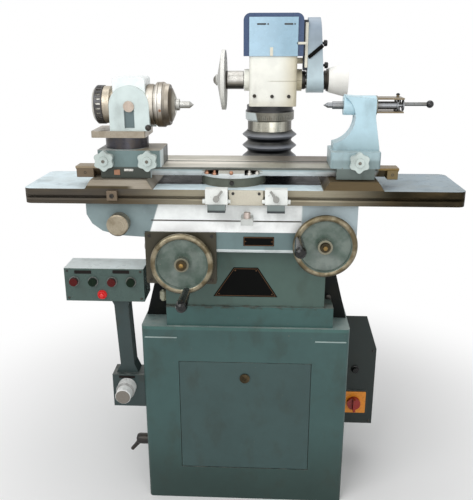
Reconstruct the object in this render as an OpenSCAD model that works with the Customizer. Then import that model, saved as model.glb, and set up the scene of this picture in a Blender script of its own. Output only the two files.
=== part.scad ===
// Tool and cutter grinder on a cabinet base, with a swivelling work table and a swivelling wheelhead.
// Millimetres. +X is the operator's right, +Y is away from the operator, +Z is up.
// The origin is on the floor, under the middle of the cabinet.

/* [Cabinet] */
// Width of the cabinet
cab_w = 610; // [580:1:650]
// Depth of the cabinet
cab_d = 600; // [580:1:660]
// Height of the cabinet
cab_h = 600; // [570:1:650]
// Sheet thickness of the cabinet
cab_wall = 6; // [4:0.5:8]
// Radius of the cabinet's upright edges
cab_edge_r = 12; // [8:1:16]
// Width of the door
door_w = 392; // [340:1:420]
// Height of the door
door_h = 368; // [330:1:390]
// Height of the door's lower edge above the floor
door_z = 118; // [100:1:140]
// Thickness of the door pan
door_t = 12; // [10:0.5:14]
// Gap at the door's top and sides
door_gap = 1.5; // [1:0.1:2.5]
// Gap under the door, which lets its lower edge swing
door_low_gap = 3; // [2.8:0.1:4]
// Drop from the door's upper edge to the lock
lock_drop = 51; // [45:1:56]
// Diameter of the anchor bolt holes in the cabinet floor
anchor_d = 14; // [12:1:18]
// Distance between the left and right anchor holes
anchor_w = 460; // [420:1:480]
// Distance between the front and rear anchor holes
anchor_l = 440; // [400:1:460]

/* [Base castings] */
// Height of the cross ways above the cabinet
way_h = 246; // [235:1:260]
// Reach of the apron to the left of the middle
apron_l = 230; // [220:1:245]
// Reach of the apron to the right of the middle
apron_r = 228; // [215:1:235]
// Height of the apron's foot
foot_h = 62; // [50:1:75]
// Front face of the apron, in front of the column axis
apron_front = 285; // [280:1:290]
// Thickness of the apron from front to back
apron_d = 70; // [64:1:76]
// Half width of the pedestal on the cabinet
ped_low = 302; // [285:1:304]
// Half width of the pedestal at the cross ways
ped_high = 239; // [225:1:250]
// Back face of the pedestal, behind the column axis
ped_back = 280; // [260:1:290]
// Wall of the castings
cast_wall = 14; // [12:1:18]
// Width of the cross-slide dovetail at its root
dove_w = 120; // [100:1:130]
// Height of the cross-slide dovetail
dove_h = 22; // [18:1:24]

/* [Column] */
// Column axis, to the right of the cabinet's middle
column_x = 64; // [55:1:72]
// Radius of the sliding column
column_r = 55; // [50:1:57]
// Outer radius of the column guide
guide_r = 75; // [72:1:77]
// Height of the column guide above the cabinet
guide_h = 430; // [420:1:436]
// Height of the bellows
bellows_h = 104; // [98:1:116]
// Largest radius of the bellows
bellows_r = 84; // [82:1:88]
// Number of bellows pleats
bellows_pleats = 3; // [2:1:4]
// Wall of the bellows
bellows_wall = 2.5; // [2:0.1:3]
// Radius of the swivel ring
ring_r = 67; // [64:1:72]
// Height of the swivel ring
ring_h = 30; // [26:1:34]
// Radius of the spigot that the wheelhead turns on
spigot_r = 40; // [36:1:44]
// Height of the elevating shaft above the cabinet
elev_h = 135; // [130:1:142]
// Radius of the elevating screw
screw_r = 12; // [10:0.5:14]
// Travel of the column below its rest height
lift_down = 10; // [8:1:14]
// Outer radius of the bevel wheels
bevel_out = 40; // [36:1:42]
// Face width of the bevel wheels
bevel_face = 16; // [12:1:18]

/* [Wheelhead] */
// Radius of the graduated collar
collar_r = 74; // [70:1:78]
// Height of the graduated collar
collar_h = 45; // [40:1:50]
// Width of the spindle housing
house_w = 140; // [134:1:148]
// Depth of the spindle housing
house_d = 124; // [116:1:132]
// Height of the spindle housing
house_h = 143; // [138:1:150]
// Height of the spindle axis in its housing
spindle_h = 73; // [70:1:76]
// Radius of the spindle in its bearings
spindle_r = 14; // [12:0.5:15]
// Radius of the spindle's left nose
nose_r = 27; // [24:1:29]
// Outer radius of the spindle bearings
bearing_r = 28; // [26:1:30]
// Width of each spindle bearing
bearing_w = 24; // [20:1:28]
// Width of the motor cover
cover_w = 173; // [166:1:178]
// Height of the motor cover
cover_h = 118; // [114:1:126]
// Wall of the motor cover and the belt guard
cover_wall = 4; // [3:0.5:5]
// Radius of the motor body
motor_r = 47; // [42:1:48]
// Radius of the motor pulley
motor_pulley_r = 26; // [23:1:28]
// Radius of the spindle pulley
spindle_pulley_r = 20; // [18:1:22]
// Width of the belt
belt_w = 14; // [12:1:16]
// Thickness of the belt
belt_t = 3.5; // [3:0.1:4.5]
// Half width of the belt guard
guard_r = 45; // [42:1:48]
// Width of the belt guard at the spindle
guard_w = 52; // [50:1:56]
// Narrowing of the belt guard from its foot to its top
guard_taper = 16; // [8:1:18]
// Radius of the dish wheel
dish_r = 88; // [80:1:92]
// Width of the dish wheel's rim
dish_rim = 11; // [8:1:13]
// Radius of the cup wheel at its mouth
cup_r = 50; // [45:1:55]
// Length of the cup wheel
cup_l = 56; // [50:1:62]
// Radius of the wheel seats on the spindle
seat_r = 10; // [8:0.5:11]

/* [Cross slide] */
// Reach of the saddle to the left of the middle
saddle_l = 250; // [245:1:255]
// Reach of the saddle to the right of the middle
saddle_r = 150; // [148:1:155]
// Height of the saddle
saddle_h = 59; // [56:1:62]
// Front face of the saddle and the bed, in front of the column axis
saddle_front = 350; // [348:1:356]
// Back face of the saddle and the bed, in front of the column axis
saddle_back = 125; // [124:1:130]
// Height of the table bed on the saddle
bed_h = 80; // [78:1:84]
// Reach of the bed's left wing
bed_l = 426; // [410:1:440]
// Reach of the bed's right wing
bed_r = 300; // [290:1:310]
// Thickness of the feed gearbox
gearbox_t = 25; // [22:1:26]
// Radius of the handwheels
wheel_r = 86; // [80:1:88]
// Radius of the cross-feed screw
feed_r = 10; // [9:0.5:11]
// Cross-feed handwheel axis, to the left of the middle
feed_x = 168; // [166:1:170]
// Drop from the cross ways to the cross-feed screw
feed_drop = 24; // [22:1:26]
// Traverse handwheel axis, to the right of the middle
traverse_x = 215; // [213:1:220]
// Height of the traverse handwheel above the cross ways
traverse_h = 30; // [29.5:0.5:31]
// Radius of the traverse shaft
traverse_r = 12; // [10:0.5:13]
// Radius of the big lock knob
lock_knob_r = 29; // [24:1:30]

/* [Table] */
// Reach of the lower table to the left of the middle
table_l = 586; // [570:1:600]
// Reach of the lower table to the right of the middle
table_r = 572; // [560:1:590]
// Thickness of the lower table
table_t = 40; // [38:1:42]
// Front face of the lower table, in front of the column axis
table_front = 370; // [368:1:374]
// Back face of the lower table, in front of the column axis
table_back = 135; // [133:1:140]
// Corner radius of the lower table
table_corner = 22; // [14:1:30]
// Height of the pads that carry the upper table
pad_h = 24; // [22:1:26]
// Table travel to each side
table_travel = 200; // [150:1:220]
// Swivel axis of the upper table, from the middle
pivot_x = -34; // [-38:1:-30]
// Radius of the swivel boss on the lower table
boss_r = 88; // [82:1:92]
// Radius of the swivel flange under the upper table, at its top
swivel_r = 112; // [106:1:116]
// Radius of the swivel pin
pivot_r = 15; // [12:0.5:18]
// Reach of the upper table to the left of the middle
upper_l = 449; // [440:1:460]
// Reach of the upper table to the right of the middle
upper_r = 400; // [390:1:415]
// Width of the upper table
upper_w = 180; // [176:1:184]
// Thickness of the upper table
upper_t = 30; // [29:0.5:33]

/* [Work heads] */
// Height of the centres above the upper table
centre_h = 155; // [152:1:160]
// Centre line of the heads, in front of the column axis
centre_y = 285; // [283:1:287]
// Workhead swivel axis, to the left of the middle
swivel_x = 318; // [315:1:322]
// Radius of the swivel drum
drum_r = 57; // [54:1:58]
// Trunnion axis, to the left of the middle
trunnion_x = 298; // [296:1:300]
// Radius of the trunnions
trunnion_r = 14; // [12:0.5:15]
// Half width of the yoke arms
yoke_r = 52; // [48:1:54]
// Thickness of the yoke arms
yoke_t = 15; // [12:0.5:16]
// Radius of the workhead spindle
work_r = 20; // [18:0.5:22]
// Radius of the workhead nose
work_nose_r = 58; // [54:1:60]
// Radius of the index ring
index_r = 50; // [46:1:54]
// Number of index notches
index_notches = 24; // [12:1:30]
// Width of the tailstock base
tail_w = 120; // [112:1:126]
// Tailstock base, from the middle to its left face
tail_x = 230; // [225:1:236]
// Radius of the tailstock quill
quill_r = 10; // [9:0.5:11]
// Radius of the star knobs
star_r = 27; // [24:1:28]

/* [Electrics] */
// Width of the push-button box
pendant_w = 230; // [222:1:240]
// Height of the push-button box
pendant_h = 100; // [92:1:110]
// Depth of the push-button box
pendant_d = 90; // [80:1:100]
// Height of the push-button box above the cabinet
pendant_lift = 77; // [60:1:90]
// Distance between neighbouring buttons
button_pitch = 55; // [48:1:57]
// Travel of the buttons
button_travel = 4; // [3:0.5:5]
// Width of the electrical box
panel_w = 118; // [108:1:130]
// Height of the electrical box
panel_h = 396; // [380:1:420]
// Depth of the electrical box
panel_d = 110; // [90:1:130]
// Height of the electrical box above the floor
panel_z = 160; // [150:1:180]
// Diameter of the supply cable entry
gland_d = 20; // [16:1:24]

/* [Fits] */
// Clearance of sliding and turning faces
slide_gap = 0.3; // [0.2:0.05:0.5]
// Radial clearance of running shafts
run_gap = 0.05; // [0.02:0.01:0.09]

/* [Hidden] */
$fn = 48;

// Paint and metal colours
enamel = [0.56, 0.66, 0.67];
dark_enamel = [0.31, 0.40, 0.40];
pale_enamel = [0.70, 0.81, 0.84];
cream = [0.93, 0.90, 0.78];
sky = [0.62, 0.76, 0.85];
steel = [0.66, 0.64, 0.60];
dark_steel = [0.26, 0.26, 0.27];
black = [0.06, 0.06, 0.07];
bronze = [0.55, 0.42, 0.22];
stone = [0.90, 0.88, 0.84];
red = [0.75, 0.08, 0.10];
green = [0.05, 0.35, 0.18];

// Cabinet
front_y = -cab_d / 2;
side_x = cab_w / 2;
frame_d = door_t + 6;
open_half = door_w / 2 + door_gap;
open_low = door_z - door_low_gap;
open_high = door_z + door_h + door_gap;
hinge_y = front_y + door_t / 2;
hinge_z = door_z + door_t / 2;
hinge_pin_r = 3;
hinge_pin_l = 12;
lock_z = door_z + door_h - lock_drop;
lock_r = 9;
floor_t = cab_wall + 2;

// Base castings
way_z = cab_h + way_h;
ped_front = apron_front - apron_d;
feed_z = way_z - feed_drop;
dove_flare = 12;

// Column and its screw
guide_z = cab_h + guide_h;
ring_z = guide_z + bellows_h;
collar_z = ring_z + ring_h + slide_gap;
elev_z = cab_h + elev_h;
web_z = elev_z + bevel_out + 1.5;
web_t = 10;
thrust_h = 6;
column_low = web_z + web_t + thrust_h + lift_down + 2;
nut_h = 40;
screw_reach = 190;
elev_boss_x = ped_low + 16 - (ped_low - ped_high) * elev_h / way_h;
wheel_hub_r = 20;
wheel_hub_h = 32;
rim_r = 9;
rim_mid = 22;
handle_orbit = wheel_r - 12;
stud_r = 4.5;
stud_l = 148;
grip_start = rim_mid + rim_r + 2;
grip_l = 124;
grip_r = 15.5;
cross_turn = 10;
traverse_turn = 17;

// Wheelhead
head_x = column_x + 8;
house_z = collar_z + collar_h;
spindle_z = house_z + spindle_h;
cover_z = house_z + house_h;
motor_z = cover_z + cover_wall + motor_r + 8;
motor_l = 124;
motor_shaft_r = 9;
shaft_hole_r = motor_shaft_r + 5;
boss_half = house_w / 2 + 16;
guard_x = head_x + house_w / 2 + 30;
pulley_x = guard_x + 16;
nose_x = head_x - boss_half - 2;
nose_l = 48;
flange_r = 20;
flange_t = 6;
dish_x = nose_x - nose_l - flange_t;
dish_l = dish_rim + 19;
cup_x = guard_x + guard_w + 13;
cup_base = 14;

// Cross slide
saddle_z = way_z + slide_gap;
bed_z = saddle_z + saddle_h;
bed_top = bed_z + bed_h;
gearbox_l = 270;
gearbox_r = 76;
gearbox_low = way_z - 89;
gearbox_back = saddle_front - 20;
traverse_z = way_z + traverse_h;
gear_r = 24;
idler_r = 40;
pinion_r = 20;
mesh_gap = 0.4;
idler_z = traverse_z + gear_r + idler_r + mesh_gap;
rack_z = idler_z + pinion_r + mesh_gap;
gear_y = -300;
gear_w = 13;
rack_y = -200;
rack_w = 20;
pinion_shaft_r = 8;
rib_y = -262;
rib_w = 44;
rib_h = 18;
lock_knob_x = -332;
lock_knob_z = bed_top - 51;
plunger_x = 8;
plunger_y = -saddle_front - 33;
plunger_r = 9;
plunger_top = bed_top - 15;
plunger_low = plunger_top - 31.5;

// Table
table_z = bed_top + slide_gap;
table_top = table_z + table_t;
pad_top = table_top + pad_h;
upper_z = pad_top + slide_gap;
upper_top = upper_z + upper_t;
upper_y = -250;
upper_front = upper_y - upper_w / 2;
pivot_h = 12;
slot_z = table_z + 19;
slot_h = 8;
slot_d = 8;
slot_y = slot_d - table_front;
tee_h = 14;
tee_d = 6;
dog_low = table_z - 13;
dog_high = table_top + 8;
dog_t = 25;
dog_w = 58;
left_dog_x = -100;
right_dog_x = 54;

// Work heads
head_z = upper_top + slide_gap;
axis_z = upper_top + centre_h;
work_y = -centre_y;
base_top = head_z + 44;
drum_top = base_top + 31;
plate_z = drum_top + slide_gap;
plate_t = 17;
yoke_z = plate_z + plate_t;
lip_low = upper_z + 2;
lip_front = upper_front - 12;
lip_back = upper_front - slide_gap;
arm_front = work_y - 55;
arm_back = work_y + 55;
head_back = work_y + 60;
yoke_spigot_r = 20;
work_face = -trunnion_x + 114;
centre_r = 12;
star_t = 16;
star_z = head_z + 18;
star_left = -366;
star_right = -252;
star_tail = tail_x + 64;
star_stud_r = 6;
stud_depth = 7;
ear_t = 4;
ear_gap = 30;
tail_throat = 56;
tail_neck = 50;
quill_out = 28;
lever_out = 170;
lever_x = tail_x + lever_out;
ear_x = lever_x + 9;
lever_y = work_y + 35;
lever_pin_r = 4;
quill_collar_r = 14;
head_boss_r = 25;
neck_r = 5;
roller_r = 4;

// Electrics
post_x = -368;
pendant_z = cab_h + pendant_lift;
pendant_x = -520;
pendant_front = -300;
box_wall = 3;
button_x = pendant_x + 28;
button_z = pendant_z + 0.61 * pendant_h;
button_r = 12;
stem_r = 6;
lamp_x = pendant_x + 107;
lamp_z = pendant_z + 0.21 * pendant_h;
lamp_r = 9;
switch_low = 324;
switch_high = 432;
switch_front = -290;
switch_back = -225;
switch_l = 403;
switch_x = -359;
switch_z = 393;
switch_stem_r = 9;
panel_front = -100;
isolator_x = side_x + 53;
isolator_z = panel_z + 82;

// A block between two corners
module block(x, y, z) {
    translate([x[0], y[0], z[0]])
        cube([x[1] - x[0], y[1] - y[0], z[1] - z[0]]);
}

module rod_x(x, y, z, r) {
    translate([x[0], y, z])
        rotate([0, 90, 0])
            cylinder(r = r, h = x[1] - x[0]);
}

module rod_y(x, y, z, r) {
    translate([x, y[0], z])
        rotate([-90, 0, 0])
            cylinder(r = r, h = y[1] - y[0]);
}

module rod_z(x, y, z, r) {
    translate([x, y, z[0]])
        cylinder(r = r, h = z[1] - z[0]);
}

// Extrudes an X-Z outline along Y
module along_y(y) {
    translate([0, y[1], 0])
        rotate([90, 0, 0])
            linear_extrude(y[1] - y[0])
                children();
}

// Extrudes a Y-Z outline along X
module along_x(x) {
    translate([x[0], 0, 0])
        rotate([90, 0, 90])
            linear_extrude(x[1] - x[0])
                children();
}

// Turns a radius-and-length profile about an axis along X
module turned_x(y, z) {
    translate([0, y, z])
        rotate([0, 90, 0])
            rotate_extrude()
                children();
}

// Rectangle with round corners
module round_rect(x, y, r) {
    translate([x[0] + r, y[0]])
        square([x[1] - x[0] - 2 * r, y[1] - y[0]]);
    translate([x[0], y[0] + r])
        square([x[1] - x[0], y[1] - y[0] - 2 * r]);
    for (px = [x[0] + r, x[1] - r], py = [y[0] + r, y[1] - r])
        translate([px, py])
            circle(r);
}

module slab(x, y, z, r) {
    translate([0, 0, z[0]])
        linear_extrude(z[1] - z[0])
            round_rect(x, y, r);
}

// Toothed disc whose teeth end at radius r
module toothed(teeth, r, depth) {
    step = 360 / teeth;
    points = [
        for (i = [0 : teeth - 1], k = [0 : 3])
            let (a = (i + [0, 0.2, 0.5, 0.7][k]) * step, q = k == 1 || k == 2 ? r : r - depth)
                [q * cos(a), q * sin(a)]
    ];
    polygon(points);
}

module base_cabinet() color(enamel) {
    inner = side_x - cab_wall;
    difference() {
        union() {
            difference() {
                slab([-side_x, side_x], [front_y, -front_y], [0, cab_h], cab_edge_r);
                block([-inner, inner], [front_y + cab_wall, -front_y - cab_wall],
                      [floor_t, cab_h - 2 * cab_wall]);
            }
            block([-open_half - cab_wall, open_half + cab_wall], [front_y, front_y + frame_d],
                  [open_low - cab_wall, open_high + cab_wall]);
        }
        block([-open_half, open_half], [front_y - 1, front_y + frame_d + 1], [open_low, open_high]);
        for (sx = [-1, 1], sy = [-1, 1])
            rod_z(sx * anchor_w / 2, sy * anchor_l / 2, [-1, floor_t + 1], anchor_d / 2);
    }
    for (s = [0, 1])
        mirror([s, 0, 0])
            rod_x([open_half - hinge_pin_l, open_half + cab_wall / 2], hinge_y, hinge_z, hinge_pin_r);
}

module cabinet_door() color(enamel) {
    half = door_w / 2;
    skin = 4;
    rim = 16;
    difference() {
        block([-half, half], [front_y, front_y + door_t], [door_z, door_z + door_h]);
        block([-half + rim, half - rim], [front_y + skin, front_y + door_t + 1],
              [door_z + rim, door_z + door_h - rim]);
        rod_y(0, [front_y - 1, front_y + skin + 1], lock_z, lock_r + run_gap);
        for (s = [0, 1])
            mirror([s, 0, 0])
                rod_x([open_half - hinge_pin_l - 1, half + 1], hinge_y, hinge_z, hinge_pin_r + run_gap);
    }
}

module door_lock() color(bronze) {
    face_r = 15;
    face_t = 4;
    cam_l = lock_drop + 11;
    cam_w = 12;
    cam_y = front_y + frame_d + 2;
    cam_t = 3;
    rod_y(0, [front_y - slide_gap - face_t, front_y - slide_gap], lock_z, face_r);
    rod_y(0, [front_y - slide_gap - 1, cam_y + cam_t], lock_z, lock_r);
    block([0, cam_l], [cam_y, cam_y + cam_t], [lock_z - cam_w / 2, lock_z + cam_w / 2]);
}

module apron() color(enamel) {
    boss_w = 56;
    foot_r = apron_r + 27;
    difference() {
        union() {
            block([-apron_l, apron_r], [-apron_front, -ped_front], [cab_h + foot_h, way_z]);
            block([-apron_l, foot_r], [-apron_front - 5, -ped_front], [cab_h, cab_h + foot_h]);
        }
        difference() {
            block([-apron_l + cast_wall, apron_r - cast_wall], [-apron_front + cast_wall, -ped_front + 1],
                  [cab_h + cast_wall, way_z - cast_wall]);
            block([-feed_x - boss_w / 2, -feed_x + boss_w / 2], [-apron_front, -ped_front + 1],
                  [feed_z - boss_w / 2, way_z]);
        }
        rod_y(-feed_x, [-apron_front - 1, -ped_front + 1], feed_z, feed_r + run_gap);
    }
}

module pedestal() color(dark_enamel) {
    slope_wall = cast_wall * 1.1;
    bore_low = web_z + web_t;
    elev_bearing = 130;
    rail_end = guide_r + 10;
    difference() {
        union() {
            difference() {
                along_y([-ped_front, ped_back])
                    polygon([[-ped_low, cab_h], [ped_low, cab_h], [ped_high, way_z], [-ped_high, way_z]]);
                along_y([-ped_front + cast_wall, ped_back - cast_wall])
                    polygon([[-ped_low + slope_wall, cab_h - 1], [ped_low - slope_wall, cab_h - 1],
                             [ped_high - slope_wall, way_z - cast_wall],
                             [slope_wall - ped_high, way_z - cast_wall]]);
            }
            rod_z(column_x, 0, [web_z, guide_z], guide_r);
            rod_x([-elev_boss_x, -elev_boss_x + elev_bearing], 0, elev_z, 26);
            along_y([-apron_front + 5, -rail_end])
                polygon([[-dove_w / 2, way_z], [dove_w / 2, way_z],
                         [dove_w / 2 + dove_flare, way_z + dove_h],
                         [-dove_w / 2 - dove_flare, way_z + dove_h]]);
        }
        rod_z(column_x, 0, [bore_low, guide_z + 1], column_r + run_gap);
        rod_z(column_x, 0, [web_z - 1, bore_low + 1], screw_r + run_gap);
        rod_x([-elev_boss_x - 1, -elev_boss_x + elev_bearing + 1], 0, elev_z, screw_r + run_gap);
        rod_y(-feed_x, [-ped_front - 1, -ped_front + cast_wall + 1], feed_z, 2 * feed_r);
    }
}

// Handwheel along +Z, with a stud for the turning handle when pegged
module handwheel(bore_r, pegged) {
    rotate_extrude() {
        polygon([[bore_r, 0], [wheel_hub_r, 0], [wheel_hub_r, wheel_hub_h], [bore_r, wheel_hub_h]]);
        polygon([[wheel_hub_r - 1, 8], [wheel_r - 1.5 * rim_r, rim_mid - 6], [wheel_r - 1.5 * rim_r, rim_mid],
                 [wheel_hub_r - 1, 14]]);
        translate([wheel_r - rim_r, rim_mid])
            circle(rim_r);
    }
    if (pegged)
        translate([0, -handle_orbit, rim_mid])
            cylinder(r = stud_r, h = stud_l - rim_mid);
}

// Turning grip on the handwheel's stud
module handle_grip() {
    bore = stud_r + run_gap;
    tip = grip_start + grip_l;
    translate([0, -handle_orbit, 0])
        rotate_extrude()
            polygon([[bore, grip_start], [0.6 * grip_r, grip_start], [0.68 * grip_r, grip_start + 4],
                     [grip_r, tip - 26], [grip_r, tip - 14], [0.8 * grip_r, tip - 4], [0.45 * grip_r, tip],
                     [0, tip], [0, stud_l + 1], [bore, stud_l + 1]]);
}

module elevating_handwheel() color(steel) {
    hub_x = -elev_boss_x - slide_gap;
    pinion_end = column_x - bevel_out + bevel_face;
    translate([hub_x, 0, elev_z])
        rotate([0, -90, 0])
            handwheel(0, false);
    rod_x([hub_x - 1, pinion_end], 0, elev_z, screw_r);
    translate([column_x - bevel_out, 0, elev_z])
        rotate([0, 90, 0])
            cylinder(r1 = bevel_out - 0.5, r2 = bevel_out - bevel_face - 0.5, h = bevel_face);
}

module elevating_screw() color(dark_steel) {
    gear_low = elev_z + bevel_out - bevel_face;
    collar_low = web_z + web_t + slide_gap;
    rod_z(column_x, 0, [gear_low, column_low + nut_h + screw_reach], screw_r);
    translate([column_x, 0, gear_low])
        cylinder(r1 = bevel_out - bevel_face - 0.5, r2 = bevel_out - 0.5, h = bevel_face);
    rod_z(column_x, 0, [collar_low, collar_low + thrust_h], screw_r + 8);
}

module column() color(steel) {
    bore_r = column_r - 23;
    difference() {
        union() {
            rod_z(column_x, 0, [column_low, ring_z + 1], column_r);
            rod_z(column_x, 0, [ring_z, ring_z + ring_h], ring_r);
            rod_z(column_x, 0, [ring_z, ring_z + ring_h + collar_h * 0.8], spigot_r);
        }
        rod_z(column_x, 0, [column_low - 1, column_low + nut_h + 1], screw_r + run_gap);
        rod_z(column_x, 0, [column_low + nut_h, ring_z - 12], bore_r);
    }
}

module bellows() color(black) {
    pitch = (bellows_h - 2 * slide_gap) / bellows_pleats;
    low = guide_z + slide_gap;
    valley = bellows_r - 16;
    outer = [
        for (i = [0 : bellows_pleats - 1], k = [0 : 1])
            [k == 0 ? valley : bellows_r, low + (i + k / 2) * pitch]
    ];
    top = [[valley, ring_z - slide_gap]];
    skin = concat(outer, top);
    inner = [for (i = [len(skin) - 1 : -1 : 0]) [skin[i][0] - bellows_wall * 1.5, skin[i][1]]];
    translate([column_x, 0, 0])
        rotate_extrude()
            polygon(concat(skin, inner));
}

module graduated_collar() color(dark_steel) {
    bevel = 4;
    band = collar_h * 0.62;
    translate([column_x, 0, collar_z])
        rotate_extrude()
            polygon([[spigot_r + run_gap, 0], [collar_r - bevel, 0], [collar_r, bevel], [collar_r, band],
                     [collar_r - bevel, band + bevel], [collar_r - bevel, collar_h],
                     [spigot_r + run_gap, collar_h]]);
}

module wheelhead_housing() color(cream) {
    half = house_w / 2;
    deep = house_d / 2;
    edge_r = 12;
    arm_z = cover_z - 22;
    difference() {
        union() {
            slab([head_x - half, head_x + half], [-deep, deep], [house_z, cover_z], edge_r);
            rod_x([head_x - boss_half, head_x + boss_half], 0, spindle_z, bearing_r + 4);
            block([head_x + half - 1, guard_x], [-18, 18], [arm_z, arm_z + 16]);
        }
        rod_x([head_x - boss_half - 1, head_x + boss_half + 1], 0, spindle_z, spindle_r + 5);
        for (s = [0, 1])
            translate([head_x, 0, 0])
                mirror([s, 0, 0])
                    rod_x([half - bearing_w - 1, half + 1], 0, spindle_z, bearing_r + run_gap);
    }
}

module spindle_bearings() color(steel) {
    half = house_w / 2;
    for (s = [0, 1])
        translate([head_x, 0, 0])
            mirror([s, 0, 0])
                difference() {
                    rod_x([half - bearing_w - 1 + slide_gap, half - slide_gap], 0, spindle_z, bearing_r);
                    rod_x([half - bearing_w - 2, half + 1], 0, spindle_z, spindle_r + run_gap);
                }
}

module motor_cover() color(sky) {
    half = cover_w / 2;
    corner = 20;
    back = 78;
    face = house_d / 2;
    panel = 6;
    inner = half - cover_wall;
    difference() {
        union() {
            along_y([-face, back])
                union() {
                    round_rect([head_x - half, head_x + half], [cover_z, cover_z + cover_h], corner);
                    translate([head_x - half, cover_z])
                        square([cover_w, corner + 1]);
                }
            block([head_x - house_w / 2, head_x + house_w / 2], [-face - panel, -face + 1],
                  [cover_z, cover_z + cover_h - 11]);
        }
        along_y([-face + cover_wall, back - cover_wall])
            union() {
                round_rect([head_x - inner, head_x + inner],
                           [cover_z + cover_wall, cover_z + cover_h - cover_wall], corner - cover_wall);
                translate([head_x - inner, cover_z + cover_wall])
                    square([2 * inner, corner]);
            }
        rod_x([head_x + inner - 1, head_x + half + 1], 0, motor_z, shaft_hole_r);
    }
}

module motor() color(dark_steel) {
    foot_half = 35;
    low = cover_z + cover_wall;
    half = motor_l / 2;
    third = motor_l / 3;
    difference() {
        union() {
            rod_x([head_x - half, head_x + half], 0, motor_z, motor_r);
            block([head_x - third, head_x + third], [-foot_half, foot_half], [low, motor_z - motor_r / 2]);
        }
        rod_x([head_x - third - 1, head_x + half + 1], 0, motor_z, motor_shaft_r + run_gap);
    }
}

module motor_pulley() color(steel) {
    rod_x([head_x - motor_l / 3, pulley_x + belt_w / 2 + 3], 0, motor_z, motor_shaft_r);
    turned_x(0, motor_z)
        pulley_profile(0, motor_pulley_r);
}

module spindle_pulley() color(steel) {
    turned_x(0, spindle_z)
        pulley_profile(spindle_r + run_gap, spindle_pulley_r);
}

module pulley_profile(bore_r, r) {
    half = belt_w / 2 + 1;
    flange = 2;
    low = pulley_x - half;
    high = pulley_x + half;
    polygon([[bore_r, low - flange], [r + flange, low - flange], [r + flange, low], [r, low],
             [r, high], [r + flange, high], [r + flange, high + flange], [bore_r, high + flange]]);
}

// Outline round both pulleys, grown by extra
module belt_outline(extra) {
    low_r = spindle_pulley_r + extra;
    high_r = motor_pulley_r + extra;
    span = motor_z - spindle_z;
    lean = asin((low_r - high_r) / span);
    translate([0, spindle_z])
        circle(low_r);
    translate([0, motor_z])
        circle(high_r);
    low = [low_r * cos(lean), spindle_z + low_r * sin(lean)];
    high = [high_r * cos(lean), motor_z + high_r * sin(lean)];
    polygon([low, high, [-high[0], high[1]], [-low[0], low[1]]]);
}

module drive_belt() color(black) {
    along_x([pulley_x - belt_w / 2, pulley_x + belt_w / 2])
        difference() {
            belt_outline(slide_gap + belt_t);
            belt_outline(slide_gap);
        }
}

// Upright outline with round ends about the spindle and the motor shaft
module guard_outline(r) {
    low = spindle_z + 8;
    high = motor_z + 4;
    translate([0, low])
        circle(r);
    translate([0, high])
        circle(r);
    translate([-r, low])
        square([2 * r, high - low]);
}

// Leaning outer face that narrows the guard towards its top
module guard_face(inset) {
    low = spindle_z + 8 - guard_r;
    high = motor_z + 4 + guard_r;
    along_y([-guard_r - 1, guard_r + 1])
        polygon([[guard_x + inset, low - 1], [guard_x + guard_w - inset, low - 1],
                 [guard_x + guard_w - guard_taper - inset, high + 1], [guard_x + inset, high + 1]]);
}

module belt_guard() color(pale_enamel) {
    hole_r = spindle_r + 8;
    difference() {
        intersection() {
            along_x([guard_x, guard_x + guard_w])
                guard_outline(guard_r);
            guard_face(0);
        }
        intersection() {
            along_x([guard_x, guard_x + guard_w])
                guard_outline(guard_r - cover_wall);
            guard_face(cover_wall);
        }
        rod_x([guard_x - 1, guard_x + guard_w + 1], 0, spindle_z, hole_r);
        rod_x([guard_x - 1, guard_x + cover_wall + 1], 0, motor_z, shaft_hole_r);
    }
}

module grinding_spindle() color(steel) {
    left_end = dish_x - dish_l - 6;
    right_end = cup_x + cup_base + 10;
    turned_x(0, spindle_z)
        polygon([[0, left_end], [seat_r - 3, left_end], [seat_r, left_end + 4], [seat_r, dish_x],
                 [flange_r, dish_x], [flange_r, dish_x + flange_t], [nose_r, dish_x + flange_t],
                 [nose_r, nose_x], [spindle_r, nose_x], [spindle_r, cup_x - flange_t],
                 [flange_r, cup_x - flange_t], [flange_r, cup_x], [seat_r, cup_x], [seat_r, right_end],
                 [0, right_end]]);
}

module dish_wheel() color(stone) {
    back = dish_x - slide_gap;
    hub_r = 16;
    turned_x(0, spindle_z)
        polygon([[seat_r + run_gap, back], [dish_r, back], [dish_r, back - dish_rim],
                 [hub_r, back - dish_l + 5], [hub_r, back - dish_l], [seat_r + run_gap, back - dish_l]]);
}

module cup_wheel() color(stone) {
    start = cup_x + slide_gap;
    root_r = cup_r * 0.7;
    wall = 11;
    turned_x(0, spindle_z)
        polygon([[seat_r + run_gap, start], [root_r, start], [cup_r, start + cup_l],
                 [cup_r - wall, start + cup_l], [root_r - wall + 2, start + cup_base],
                 [seat_r + run_gap, start + cup_base]]);
}

module saddle() color(enamel) {
    bevel = 8;
    difference() {
        union() {
            block([-saddle_l, saddle_r], [-gearbox_back, -saddle_back], [saddle_z, bed_z]);
            along_x([-gearbox_r, saddle_r])
                polygon([[-gearbox_back, saddle_z], [-saddle_front + bevel, saddle_z],
                         [-saddle_front, saddle_z + bevel], [-saddle_front, bed_z], [-gearbox_back, bed_z]]);
        }
        along_y([-gearbox_back, -saddle_back + 1])
            polygon([[-dove_w / 2 - slide_gap, saddle_z - 1], [dove_w / 2 + slide_gap, saddle_z - 1],
                     [dove_w / 2 + dove_flare + slide_gap * 2, way_z + dove_h + slide_gap],
                     [-dove_w / 2 - dove_flare - slide_gap * 2, way_z + dove_h + slide_gap]]);
    }
}

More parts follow.
